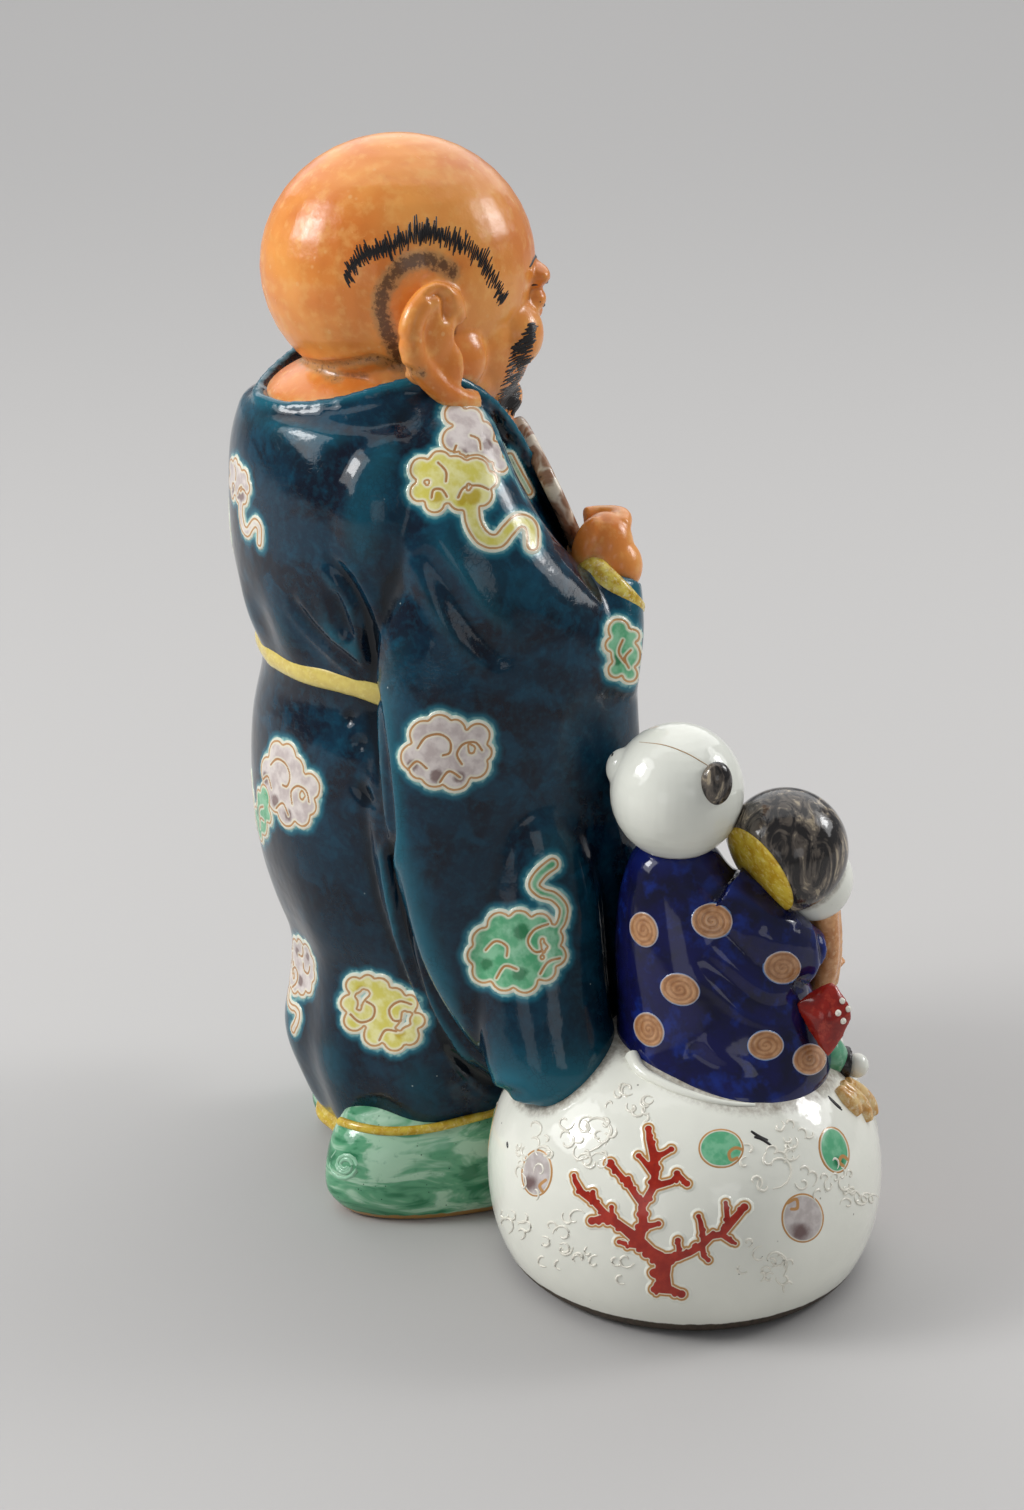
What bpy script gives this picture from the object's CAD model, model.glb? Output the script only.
# The looks of a glazed porcelain group: a stout monk in a teal robe, his sack and two children on it.
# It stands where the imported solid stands. Shapes are given in millimetres and built in metres.
import math
import random

import bpy
import numpy as np
from mathutils import Matrix, Vector
from mathutils.bvhtree import BVHTree
from mathutils.kdtree import KDTree


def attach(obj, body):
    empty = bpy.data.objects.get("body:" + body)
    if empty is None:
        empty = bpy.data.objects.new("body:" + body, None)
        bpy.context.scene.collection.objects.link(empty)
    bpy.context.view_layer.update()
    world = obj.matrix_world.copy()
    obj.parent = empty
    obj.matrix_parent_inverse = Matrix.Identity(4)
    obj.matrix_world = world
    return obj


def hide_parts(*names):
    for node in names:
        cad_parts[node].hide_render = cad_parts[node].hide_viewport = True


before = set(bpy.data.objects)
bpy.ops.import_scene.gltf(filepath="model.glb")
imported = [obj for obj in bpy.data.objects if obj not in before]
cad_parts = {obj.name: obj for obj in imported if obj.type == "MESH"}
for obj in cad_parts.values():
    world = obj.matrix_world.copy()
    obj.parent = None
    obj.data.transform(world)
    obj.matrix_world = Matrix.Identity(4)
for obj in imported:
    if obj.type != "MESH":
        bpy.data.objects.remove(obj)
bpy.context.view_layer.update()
mm = 0.001
sackAxis = Vector((-83.5, -41.5, 0.0))  # the sack stands here, and the children sit over it


# the photograph's camera

photo = {
    "azimuth": -113.0,
    "elevation": 20.0,
    "distance": 0.85,
    "lens": 70.99,
    "sensor": 36.0,
    "nearest": 0.05,  # metres from the lens, and nothing nearer is drawn
    "aim": (-0.00905, -0.02132, 0.12440),
    "size": (1024, 1510),
}


class Lookout:
    # sees the group as the photograph's camera would from any side, in the photograph's pixels
    def __init__(self, azimuth, elevation=photo["elevation"]):
        turn, rise = math.radians(azimuth), math.radians(elevation)
        self.right = Vector((math.cos(turn), math.sin(turn), 0.0))
        level = Vector((math.sin(turn), -math.cos(turn), 0.0))
        self.back = level * math.cos(rise) + Vector((0.0, 0.0, math.sin(rise)))
        self.up = self.back.cross(self.right)
        self.eye = Vector(photo["aim"]) + self.back * photo["distance"]
        self.focal = photo["lens"] / photo["sensor"] * photo["size"][1]

    def ray(self, x, y):
        across = (x - photo["size"][0] / 2) / self.focal
        above = (photo["size"][1] / 2 - y) / self.focal
        return (self.right * across + self.up * above - self.back).normalized()

    def pixel(self, point):
        away = Vector(point) - self.eye
        depth = -away.dot(self.back)
        x = photo["size"][0] / 2 + self.focal * away.dot(self.right) / depth
        return x, photo["size"][1] / 2 - self.focal * away.dot(self.up) / depth

    def facePixel(self, across, height):
        # the pixel of a point of the face's front, in mm
        return self.pixel(Vector((across, -30.0, height)) * mm)

    def touch(self, tree, x, y):
        # where a pixel's ray meets a piece, or None
        return tree.ray_cast(self.eye, self.ray(x, y))[0]

    def line(self, tree, pixels):
        # the places behind a row of pixels, without those that miss
        return [spot for spot in (self.touch(tree, x, y) for x, y in pixels) if spot]


front = Lookout(photo["azimuth"])
pixelSize = 0.272  # mm on the group for one pixel of the photograph, near enough


# modelling helpers


def deselect():
    if bpy.context.object and bpy.context.object.mode != "OBJECT":
        bpy.ops.object.mode_set(mode="OBJECT")
    bpy.ops.object.select_all(action="DESELECT")


def pick(*pieces):
    deselect()
    for piece in pieces:
        piece.select_set(True)
    bpy.context.view_layer.objects.active = pieces[-1]


def finish(piece, kind, **settings):
    # adds one modifier and applies it
    pick(piece)
    modifier = piece.modifiers.new(kind.lower(), kind)
    for name, value in settings.items():
        setattr(modifier, name, value)
    bpy.ops.object.modifier_apply(modifier=modifier.name)
    return piece


def endEdit():
    # turns every face outward and leaves edit mode
    bpy.ops.mesh.select_all(action="SELECT")
    bpy.ops.mesh.normals_make_consistent(inside=False)
    bpy.ops.object.mode_set(mode="OBJECT")


def polish(*pieces):
    pick(*pieces)
    bpy.ops.object.shade_smooth()


def knead(piece, grain, passes):
    # an even skin of small faces, smoothed as a wet sponge would
    finish(piece, "REMESH", mode="VOXEL", voxel_size=grain * mm)
    return finish(piece, "SMOOTH", factor=0.5, iterations=passes)


def facing(direction):
    # the turn that points an upright form in a direction
    return Vector(direction).to_track_quat("Z", "Y").to_matrix().to_4x4()


def pointsOf(piece, field="co"):
    flat = np.empty(len(piece.data.vertices) * 3, dtype=np.float32)
    piece.data.vertices.foreach_get(field, flat)
    return flat.reshape(-1, 3).astype(float)


def movePoints(piece, points):
    piece.data.vertices.foreach_set("co", points.astype(np.float32).ravel())
    piece.data.update()


def setDown(piece):
    # nothing reaches below the floor
    points = pointsOf(piece)
    points[:, 2] = np.maximum(points[:, 2], 0.0)
    movePoints(piece, points)


def evenRows(rows, count):
    # rows of numbers read at even steps along a smooth curve through them
    rows = np.array(rows, float)
    steps = np.linspace(0.0, len(rows) - 1.0, count)
    first = np.clip(steps.astype(int), 0, len(rows) - 2)
    share = (steps - first)[:, None]
    before, after = rows[np.clip(first - 1, 0, None)], rows[np.clip(first + 2, None, len(rows) - 1)]
    start, end = rows[first], rows[first + 1]
    square, cube = share**2, share**3
    value = (2 * cube - 3 * square + 1) * start + (3 * square - 2 * cube) * end
    return value + (cube - 2 * square + share) * (end - before) / 2 + (cube - square) * (after - start) / 2


def layUp(name, levels, steps=30, sides=48, turn=0.0, foot=(0.0, 0.0, 0.0), rounds=1):
    # a circle extruded, moved and resized from level to level: z, centre x and y, half width, half depth
    rows = evenRows(levels, steps)
    turned = Matrix.Rotation(math.radians(-turn), 3, "Z")
    deselect()
    height, x, y, wide, deep = rows[0]
    centre = turned @ Vector((x, y, height)) * mm
    bpy.ops.mesh.primitive_circle_add(vertices=sides, radius=mm, fill_type="NGON", location=centre)
    form = bpy.context.object
    form.name = name
    bpy.ops.object.mode_set(mode="EDIT")
    bpy.ops.transform.resize(value=(wide, deep, 1.0), center_override=centre)
    for row in rows[1:]:
        step = turned @ Vector((row[1], row[2], row[0])) * mm
        bpy.ops.mesh.extrude_region_move(TRANSFORM_OT_translate={"value": step - centre})
        grow = (row[3] / wide, row[4] / deep, 1.0)
        bpy.ops.transform.resize(value=grow, center_override=step)
        centre, wide, deep = step, row[3], row[4]
    endEdit()
    bpy.ops.object.transform_apply(location=True, rotation=True, scale=True)
    if rounds:
        finish(form, "SUBSURF", levels=rounds, render_levels=rounds)
    form.data.transform(Matrix.Rotation(math.radians(turn), 4, "Z"))
    form.data.transform(Matrix.Translation(Vector(foot) * mm))
    return form


def pebble(name, centre, radii, tilt=(0.0, 0.0, 0.0), segments=40):
    # a rounded lump of clay
    deselect()
    bpy.ops.mesh.primitive_uv_sphere_add(
        segments=segments,
        ring_count=segments // 2,
        radius=1.0,
        location=Vector(centre) * mm,
        rotation=[math.radians(angle) for angle in tilt],
        scale=Vector(radii) * mm,
    )
    lump = bpy.context.object
    lump.name = name
    bpy.ops.object.transform_apply(location=True, rotation=True, scale=True)
    return lump


def roll(name, paths, steps=20, sides=4, band=0.0):
    # clay rolls along smooth paths of (point, radius), or a flat band of that half height
    curve = bpy.data.curves.new(name, "CURVE")
    curve.dimensions = "3D"
    curve.twist_mode = "Z_UP"
    curve.bevel_depth = mm
    curve.bevel_resolution = sides
    curve.extrude = band * mm
    curve.use_fill_caps = True
    for path in paths:
        rows = evenRows([[*point, radius] for point, radius in path], steps)
        spline = curve.splines.new("POLY")
        spline.points.add(len(rows) - 1)
        for dot, row in zip(spline.points, rows):
            dot.co = (*(row[:3] * mm), 1.0)
            dot.radius = row[3]
    tube = bpy.data.objects.new(name, curve)
    bpy.context.scene.collection.objects.link(tube)
    pick(tube)
    bpy.ops.object.convert(target="MESH")
    return bpy.context.object


def mirrored(form):
    # a copy on the other side of the monk's middle
    pick(form)
    bpy.ops.object.duplicate()
    copy = bpy.context.object
    copy.data.transform(Matrix.Scale(-1.0, 4, (1.0, 0.0, 0.0)))
    copy.data.flip_normals()
    return copy


def bothSides(forms):
    return forms + [mirrored(form) for form in forms]


def joined(name, forms):
    pick(*forms)
    bpy.ops.object.join()
    piece = bpy.context.object
    piece.name = piece.data.name = name
    return piece


def fuse(name, forms, grain, passes=4):
    # the lumps become one skin
    piece = knead(joined(name, forms), grain, passes)
    bpy.ops.object.shade_smooth()
    return piece


def treeOf(*pieces):
    points, faces = [], []
    for piece in pieces:
        start = len(points)
        points += [vertex.co.copy() for vertex in piece.data.vertices]
        faces += [[start + index for index in face.vertices] for face in piece.data.polygons]
    return BVHTree.FromPolygons(points, faces)


def nearestOf(spots):
    tree = KDTree(len(spots))
    for index, spot in enumerate(spots):
        tree.insert(spot, index)
    tree.balance()
    return tree


def spread(piece, values, passes):
    # blurs a value over the surface, each point taking its neighbours' mean
    edges = np.empty(len(piece.data.edges) * 2, dtype=np.int32)
    piece.data.edges.foreach_get("vertices", edges)
    one, two = edges.reshape(-1, 2).T
    total = len(piece.data.vertices)
    shares = np.maximum(np.bincount(one, minlength=total) + np.bincount(two, minlength=total), 1)
    columns = [values] if values.ndim == 1 else list(values.T)
    for index, column in enumerate(columns):
        for _ in range(passes):
            near = np.bincount(one, column[two], total) + np.bincount(two, column[one], total)
            column = 0.3 * column + 0.7 * near / shares
        columns[index] = column
    return columns[0] if values.ndim == 1 else np.stack(columns, axis=1)


def paintValue(piece, name, values):
    layer = piece.data.attributes.new(name, "FLOAT", "POINT")
    layer.data.foreach_set("value", values.astype(np.float32))


def readValue(piece, name):
    values = np.empty(len(piece.data.vertices), dtype=np.float32)
    piece.data.attributes[name].data.foreach_get("value", values)
    return values


def paintRelief(piece, passes):
    # ridges are above 0 and hollows below, in mm, so that glaze thins on one and pools in the other
    points = pointsOf(piece)
    offset = np.einsum("ij,ij->i", points - spread(piece, points, passes), pointsOf(piece, "normal"))
    paintValue(piece, "relief", spread(piece, offset / mm, 3))


def paintGaps(piece, name, spots, reach):
    # 1 on the spots, 0 from reach mm on
    tree = nearestOf(spots)
    gaps = np.array([tree.find(vertex.co)[2] for vertex in piece.data.vertices]) / mm
    paintValue(piece, name, np.clip(1.0 - gaps / reach, 0.0, 1.0))


def paintNearness(piece, others, reach):
    paintGaps(piece, "near", [vertex.co for other in others for vertex in other.data.vertices], reach)


def lineGap(points, line):
    # distance from each point to a broken line, and how far along it the nearest place is, 0 to 1
    line = np.array(line, float)
    best, along = np.full(len(points), 1e9), np.zeros(len(points))
    for index in range(len(line) - 1):
        start, step = line[index], line[index + 1] - line[index]
        share = np.clip((points - start) @ step / max(step @ step, 1e-12), 0.0, 1.0)
        gap = np.linalg.norm(points - start - share[:, None] * step, axis=1)
        closer = gap < best
        best[closer] = gap[closer]
        along[closer] = (index + share[closer]) / (len(line) - 1)
    return best, along


def crease(piece, tree, pixels, width, depth, lip=0.0):
    # a fold pressed in along a line of the photograph, with a raised lip on both sides
    line = [tuple(spot) for spot in front.line(tree, evenRows(pixels, 4 * len(pixels)))]
    points, normals = pointsOf(piece), pointsOf(piece, "normal")
    gap, along = lineGap(points, line)
    gap /= width * mm
    fade = np.sin(np.clip(along, 0.0, 1.0) * math.pi) ** 0.5
    push = -depth * np.exp(-(gap**2)) + lip * np.exp(-((gap - 1.9) ** 2) * 1.5)
    movePoints(piece, points + normals * (push * fade * mm)[:, None])


# glaze helpers


def shade(red, green, blue):
    # a colour as a picture shows it, 0 to 255, turned into light
    parts = [part / 255.0 for part in (red, green, blue)]
    return tuple(part / 12.92 if part < 0.04045 else ((part + 0.055) / 1.055) ** 2.4 for part in parts)


class Wire:
    # a socket that adds, multiplies and so on by adding Math nodes
    def __init__(self, glaze, socket):
        self.glaze = glaze
        self.socket = socket

    def math(self, operation, other=None, first=False):
        pair = (other, self) if first else (self, other)
        inputs = {index: value for index, value in enumerate(pair) if value is not None}
        return self.glaze.out("ShaderNodeMath", {"operation": operation}, inputs)

    def __add__(self, other):
        return self.math("ADD", other)

    __radd__ = __add__

    def __mul__(self, other):
        return self.math("MULTIPLY", other)

    __rmul__ = __mul__

    def __sub__(self, other):
        return self.math("SUBTRACT", other)

    def __rsub__(self, other):
        return self.math("SUBTRACT", other, first=True)

    def __abs__(self):
        return self.math("ABSOLUTE")

    def between(self, low, high):
        # 0 at low and 1 at high, smooth in between
        settings = {"interpolation_type": "SMOOTHSTEP"}
        return self.glaze.out("ShaderNodeMapRange", settings, {0: self, 1: low, 2: high})


class Glaze:
    # one material: a glossy shader and the nodes that feed it
    def __init__(self, name, roughness=0.1, sheen=0.5):
        self.material = bpy.data.materials.new(name)
        self.material.use_nodes = True
        self.nodes = self.material.node_tree.nodes
        self.links = self.material.node_tree.links
        self.shader = self.nodes["Principled BSDF"]
        self.shader.inputs["Roughness"].default_value = roughness
        self.shader.inputs["Specular IOR Level"].default_value = sheen

    def add(self, kind, settings=None, inputs=None):
        node = self.nodes.new(kind)
        for name, value in (settings or {}).items():
            setattr(node, name, value)
        for index, value in (inputs or {}).items():
            self.feed(node.inputs[index], value)
        return node

    def feed(self, socket, value):
        if isinstance(value, Wire):
            self.links.new(value.socket, socket)
        elif isinstance(value, (tuple, list)) and len(value) == 3 and socket.type == "RGBA":
            socket.default_value = (*value, 1.0)
        else:
            socket.default_value = value

    def out(self, kind, settings=None, inputs=None, output=0):
        return Wire(self, self.add(kind, settings, inputs).outputs[output])

    def place(self, turn=(0.0, 0.0, 0.0), stretch=(1.0, 1.0, 1.0)):
        where = self.out("ShaderNodeTexCoord", output=3)
        if turn == (0.0, 0.0, 0.0) and stretch == (1.0, 1.0, 1.0):
            return where
        return self.out("ShaderNodeMapping", {}, {0: where, 2: turn, 3: stretch})

    def value(self, name):
        return self.out("ShaderNodeAttribute", {"attribute_name": name}, output=2)

    def height(self):
        split = self.add("ShaderNodeSeparateXYZ", {}, {0: self.place()})
        return Wire(self, split.outputs[2]) * 1000.0

    def noise(self, grain, detail=3.0, rough=0.55, where=None, warp=0.0):
        # grain is the size of a patch, in mm
        inputs = {0: where or self.place(), 2: 1000.0 / grain, 3: detail, 4: rough, 8: warp}
        return self.out("ShaderNodeTexNoise", {}, inputs)

    def cells(self, grain, feature="DISTANCE_TO_EDGE", where=None):
        inputs = {0: where or self.place(), 2: 1000.0 / grain}
        return self.out("ShaderNodeTexVoronoi", {"feature": feature}, inputs)

    def specks(self, grain, size):
        # small round dots about grain mm apart
        return self.cells(grain, "F1").between(size, size * 0.4)

    def mix(self, share, one, two):
        settings = {"data_type": "RGBA"}
        return self.out("ShaderNodeMix", settings, {0: share, 6: one, 7: two}, output=2)

    def dye(self, colour):
        self.feed(self.shader.inputs["Base Color"], colour)

    def gloss(self, value):
        self.feed(self.shader.inputs["Roughness"], value)

    def ripple(self, height, strength, depth=1.0):
        # depth in mm is how far the surface moves where height goes from 0 to 1
        inputs = {"Strength": strength, "Distance": depth * mm, "Height": height}
        bump = self.out("ShaderNodeBump", {}, inputs)
        self.feed(self.shader.inputs["Normal"], bump)

    def onto(self, *pieces):
        for piece in pieces:
            piece.data.materials.clear()
            piece.data.materials.append(self.material)


# the sack: a full round bag of white porcelain, gathered where it is tied

sack = {
    "profile": [
        (0.0, 45.2), (0.5, 46.6), (2.0, 48.8), (5, 51), (13, 54), (25, 55.5), (38, 54), (50, 48.5), (60, 39),
        (67, 26.5), (71, 13), (72, 4),
    ],
    "depth": 0.98,
    "grain": 1.0,
    "mouth": (-14, -45, 38),
    "knot": (6.5, 5, 6),
    "knotTilt": (30, 0, -16),
    "pleats": 9,
    "pleatDepth": 0.10,
}  # fmt: skip


def makeSack():
    levels = [(z, 0, 0, wide, wide * sack["depth"]) for z, wide in sack["profile"]]
    body = layUp("sack", levels, steps=44, sides=72, foot=sackAxis)
    mouth = sackAxis + Vector(sack["mouth"])
    knot = pebble("knot", mouth, sack["knot"], tilt=sack["knotTilt"])
    points = pointsOf(knot)
    away = points - np.array(mouth * mm)
    angle = np.arctan2(away[:, 2], away[:, 0])
    movePoints(knot, points + away * (sack["pleatDepth"] * np.cos(sack["pleats"] * angle))[:, None])
    piece = fuse("sack", [body, knot], sack["grain"], passes=3)
    setDown(piece)
    return piece


sackBag = makeSack()
print("sack", len(sackBag.data.polygons))


# the robe: body, sleeves, cuffs and collar pressed into one skin

robe = {
    "grain": 1.24,
    "levels": [
        (19.5, 0, 2, 34, 28), (24, 0, 2, 38, 32), (32, 0, 1, 43, 36), (46, 0, 1, 47, 40), (60, 0, 0, 48, 39.5),
        (72, 0, 0, 49, 40), (84, 0, 0, 51, 44.5), (100, 0, -1, 53, 50), (120, 0, -1, 54, 52), (140, 0, 1, 52, 49),
        (156, 0, 3, 48, 43.5), (168, 0, 4, 51, 46), (185, 0, 8, 53, 46), (205, 0, 13.5, 52, 41),
        (220, 0, 17, 47, 36.5), (232, 0, 18, 39, 32),
    ],
    "sleeve": [
        (45, -65, -15, 6, 8), (52, -64, -13.5, 11, 16.5), (64, -62, -10.5, 14, 24.5), (87, -59, -6.2, 15, 31.8),
        (110, -56, -5, 16, 35.5), (131, -52, -4, 18, 37), (155, -50, -3.2, 20, 36.8), (175, -48, -3.5, 21, 35.5),
        (190, -46, 1.5, 22, 27), (203, -44, 7, 20, 22), (218, -38, 10, 19, 18), (230, -31, 9.5, 15, 15),
        (239, -26, 9.5, 8, 9),
    ],
    "yoke": [(218, 0, 22, 46, 31), (226, 0, 21.5, 42, 29.5), (234, 0, 20.5, 37.5, 28.5), (241, 0, 20, 33.8, 27.5)],
    "yokeSlope": 0.27,  # how steeply the neckline dips behind yokeStart
    "yokeStart": 11,
    "rightCuff": [((-52, -24, 160), 15), ((-50, -29, 174), 12.7), ((-46, -33, 186), 9.8)],
    "leftCuff": [((53, -22, 162), 16), ((42, -40, 158), 13.5), ((26, -50, 156), 10.5)],
    "collar": [
        (0, 48, 232.5), (-12, 44, 232.5), (-24, 34, 235.5), (-32, 20, 240.5), (-33.5, 8, 241.5), (-31, -4, 235),
        (-27, -14, 224), (-24, -24, 207), (-24, -33, 188), (-28, -38, 168), (-34, -41, 146), (-34, -45, 126),
        (-25, -52, 108), (-12, -56, 100), (0, -57, 98),
    ],
    "seam": [
        ((-55.9, -8.9, 46), 6), ((-51.4, -1, 54), 8), ((-46.1, 8.6, 63), 8.2), ((-45, 16.9, 80), 7.5),
        ((-43.7, 25.1, 105), 6.8), ((-41.2, 28.3, 130), 6), ((-37, 27, 152), 3.5),
    ],
    "sleeveEnd": [  # it swells out over the sack
        (52, -74.2, -6.0, 12, 10.5), (54.5, -75.2, -5.6, 16, 15.5), (60, -75.0, -5.1, 18, 18),
        (67, -73.2, -4.8, 18.5, 18.5), (77, -70.1, -3.9, 17, 18.5), (92, -66.6, -3.3, 15, 19),
        (108, -63.2, -3.0, 13.5, 19), (126, -59.9, -2.8, 12.5, 16), (138, -58.0, -3.6, 8, 9),
    ],
    "endTurn": -23.0,
    "collarThickness": 3.6,
    "blade": ((-34, 22, 206), (18, 20, 26)),  # the back of the shoulder
    "hemWave": (9.0, 0.022, 118.0),  # folds round the hem: how many, how deep, up to which height
    "gathers": (13.0, 0.018, 172.0),  # under the sash
    "hemDip": (0.26, 70.0),  # how much lower the hem hangs behind, and from which height
}  # fmt: skip


def foldRobe(body):
    # long soft folds round the hem and fine gathers under the sash, and the hem hangs lower behind
    points = pointsOf(body) / mm
    levels = np.array(robe["levels"], float)
    height = points[:, 2]
    middle = np.stack([np.interp(height, levels[:, 0], levels[:, column]) for column in (1, 2)], axis=1)
    away = points[:, :2] - middle
    angle = np.arctan2(away[:, 1], away[:, 0])
    count, depth, top = robe["hemWave"]
    grow = 1.0 + depth * np.clip((top - height) / 70.0, 0.0, 1.0) * np.cos(count * angle + 0.9)
    bulge = np.exp(-(((height - 42.0) / 17.0) ** 2)) * np.exp(-(((angle - math.radians(62)) / 0.45) ** 2))
    count, depth, level = robe["gathers"]
    grow += 0.05 * bulge + depth * np.exp(-(((height - level) / 9.0) ** 2)) * np.cos(count * angle)
    points[:, :2] = middle + away * grow[:, None]
    dip, top = robe["hemDip"]
    points[:, 2] -= dip * points[:, 1] * np.clip(1.0 - height / top, 0.0, 1.0)
    movePoints(body, points * mm)
    return body


def makeRobe():
    body = foldRobe(layUp("robeBody", robe["levels"], steps=44, sides=72))
    rightSleeve = layUp("rightSleeve", robe["sleeve"], steps=36)
    leftLevels = [(z, -x, y - 1 if z > 60 else y + 6, wide, deep) for z, x, y, wide, deep in robe["sleeve"]]
    leftSleeve = layUp("leftSleeve", leftLevels, steps=36)
    cuffs = [roll("cuff", [robe[side]], steps=16, sides=10) for side in ("rightCuff", "leftCuff")]
    yoke = layUp("yoke", robe["yoke"], steps=12, sides=64)
    points = pointsOf(yoke)
    points[:, 2] -= robe["yokeSlope"] * np.maximum(points[:, 1] - robe["yokeStart"] * mm, 0.0)
    movePoints(yoke, points)
    blade = pebble("blade", *robe["blade"])
    half = robe["collarThickness"] / 2
    collar = roll("collar", [[(point, half) for point in robe["collar"]]], steps=90)
    seam = roll("seam", [robe["seam"]], steps=24, sides=8)  # closes the hollow between the body and the sleeve
    end = layUp("sleeveEnd", robe["sleeveEnd"], steps=30, turn=robe["endTurn"])
    forms = [body, yoke, rightSleeve, leftSleeve, end, *cuffs, *bothSides([blade, collar, seam])]
    return fuse("robeBody", forms, robe["grain"], passes=3)


robeBody = makeRobe()
print("robe", len(robeBody.data.polygons))


# the sash sits on the robe, high behind and low below the belly

sash = {
    "thickness": 4.6,
    "height": 7.6,
    "path": [
        (0, 46.3, 160.5), (-18, 43.3, 161), (-36, 31.8, 160), (-48, 12, 150), (-48, -12, 130), (-36, -36, 109),
        (-18, -50, 98), (0, -54, 95),
    ],
}  # fmt: skip


def makeSash():
    half = sash["thickness"] / 2
    other = [(-x, y, z) for x, y, z in sash["path"][-2::-1]]
    band = roll("sash", [[(point, half) for point in sash["path"] + other]], steps=150, sides=6)
    points = pointsOf(band)
    middle = evenRows(np.array(sash["path"] + other) * mm, 150)
    tree = nearestOf(middle)
    stretch = sash["height"] / sash["thickness"]
    for point in points:
        nearest = tree.find(point)[0]
        point[2] = nearest[2] + (point[2] - nearest[2]) * stretch
    movePoints(band, points)
    return fuse("sash", [band], 0.7, passes=3)


sashBand = makeSash()
print("sash", len(sashBand.data.polygons))


# bare skin: head, neck, chest and belly

skin = {
    "grain": 0.95,
    "belly": [
        (104, 0, -14, 14, 40), (112, 0, -12, 30, 44), (126, 0, -10, 38, 47), (142, 0, -9, 40, 47),
        (158, 0, -7, 38, 42), (172, 0, -3, 34, 41.5), (190, 0, 2, 31, 41.5), (208, 0, 7, 28, 38.5),
        (224, 0, 10, 25, 33), (238, 0, 12, 22, 26),
    ],
    "lumps": [
        ((0, 18, 226.5), (33, 28.5, 16.5)), ((0, 8, 266), (34, 37.5, 34.5)), ((0, -3, 246), (28, 26, 25)),
        ((0, 5, 238), (30, 26, 18)), ((0, -29.5, 250.5), (4.6, 4.6, 3.6)),
    ],
    "pairs": [
        ((-28, -32, 162), (7, 7, 12)), ((-15, -18, 248), (11, 9, 10)), ((-12, -26, 263), (8.5, 4, 3.4)),
        ((-27.5, 3, 245), (6.5, 9, 9)), ((-3.8, -28.2, 249.3), (2.8, 3.2, 2.6)),
        ((-12.5, -25.5, 256.5), (6.4, 3.6, 3.6)), ((-16, -33, 180), (15, 8.5, 14)),
        ((-37.6, 13.5, 254), (2.8, 6.5, 10.5)), ((-36.8, 9.5, 245), (2.8, 5.5, 8)),
    ],
    "earRim": [
        (-34, 5.5, 257), (-36, 7.5, 262.5), (-38, 13.5, 264.5), (-39.5, 19.2, 259), (-39.5, 19.5, 251),
        (-38.5, 15.5, 244.5), (-37.5, 10, 239), (-35.5, 4, 235.5), (-33, 0, 234.5),
    ],
    "earThickness": 6.8,
    "earBowl": ((-34.5, 13, 252), (4.5, 6.5, 12)),
    "earTilt": (18, 0, 0),
    "nose": [((0, -25.5, 264), 2.6), ((0, -29, 254), 3.0)],
    "lips": [  # and the chin under them
        ((0, -25, 236), (6.4, 3.2, 2.3)), ((0, -25.6, 240.2), (7.2, 3.0, 2.1)), ((0, -20, 228), (11, 7, 6.5)),
    ],
    "navel": (128, 2.6),  # height, and its radius and depth
}  # fmt: skip


def makeSkin():
    forms = [layUp("belly", skin["belly"], steps=30, sides=64)]
    forms += [pebble("lump", centre, radii) for centre, radii in skin["lumps"]]
    forms.append(roll("nose", [skin["nose"]], steps=10, sides=6))
    forms += [pebble("lip", centre, radii) for centre, radii in skin["lips"]]
    half = skin["earThickness"] / 2
    right = [pebble("lump", centre, radii) for centre, radii in skin["pairs"]]
    right.append(roll("earRim", [[(point, half) for point in skin["earRim"]]], steps=40, sides=6))
    right.append(pebble("earBowl", *skin["earBowl"], tilt=skin["earTilt"]))
    piece = fuse("skin", forms + bothSides(right), skin["grain"], passes=3)
    points = pointsOf(piece)
    level, radius = skin["navel"]
    gap = np.hypot(points[:, 0], points[:, 2] - level * mm) / (radius * mm)
    points[:, 1] += np.where(points[:, 1] < -30 * mm, radius * mm * np.exp(-(gap**2)), 0.0)
    movePoints(piece, points)
    return piece


monkSkin = makeSkin()
print("skin", len(monkSkin.data.polygons))


# hands, and the round fan in the right one

hands = {
    "grain": 0.6,
    "rightLumps": [  # palm, heel of the hand and thumb: centre, radii, tilt
        ((-43.5, -33.5, 193), (8.2, 8, 10.5), (10, 0, 0)), ((-46, -36, 189), (7.6, 7.2, 8), (0, 0, 0)),
        ((-45, -28, 196), (4, 3.6, 7.5), (24, 0, 0)),
    ],
    "leftPalm": ((15, -54.5, 155), (13, 6.5, 8.5), (0, 0, -16)),
    "wrist": [((-44, -34, 177), 7), ((-43.5, -35, 189), 7)],
    "rightFingers": [
        ((-46, -37, 199.5), 2.9), ((-40, -40, 200.5), 2.9), ((-34, -37, 200), 2.6), ((-33, -32.5, 200), 2.3),
    ],
    "fingerStep": 4.6,
    "leftFingers": [((14, -59.5, 161.5), 2.5), ((3, -58.5, 162), 2.3), ((-7, -53.5, 162), 2.1)],
}  # fmt: skip


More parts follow.
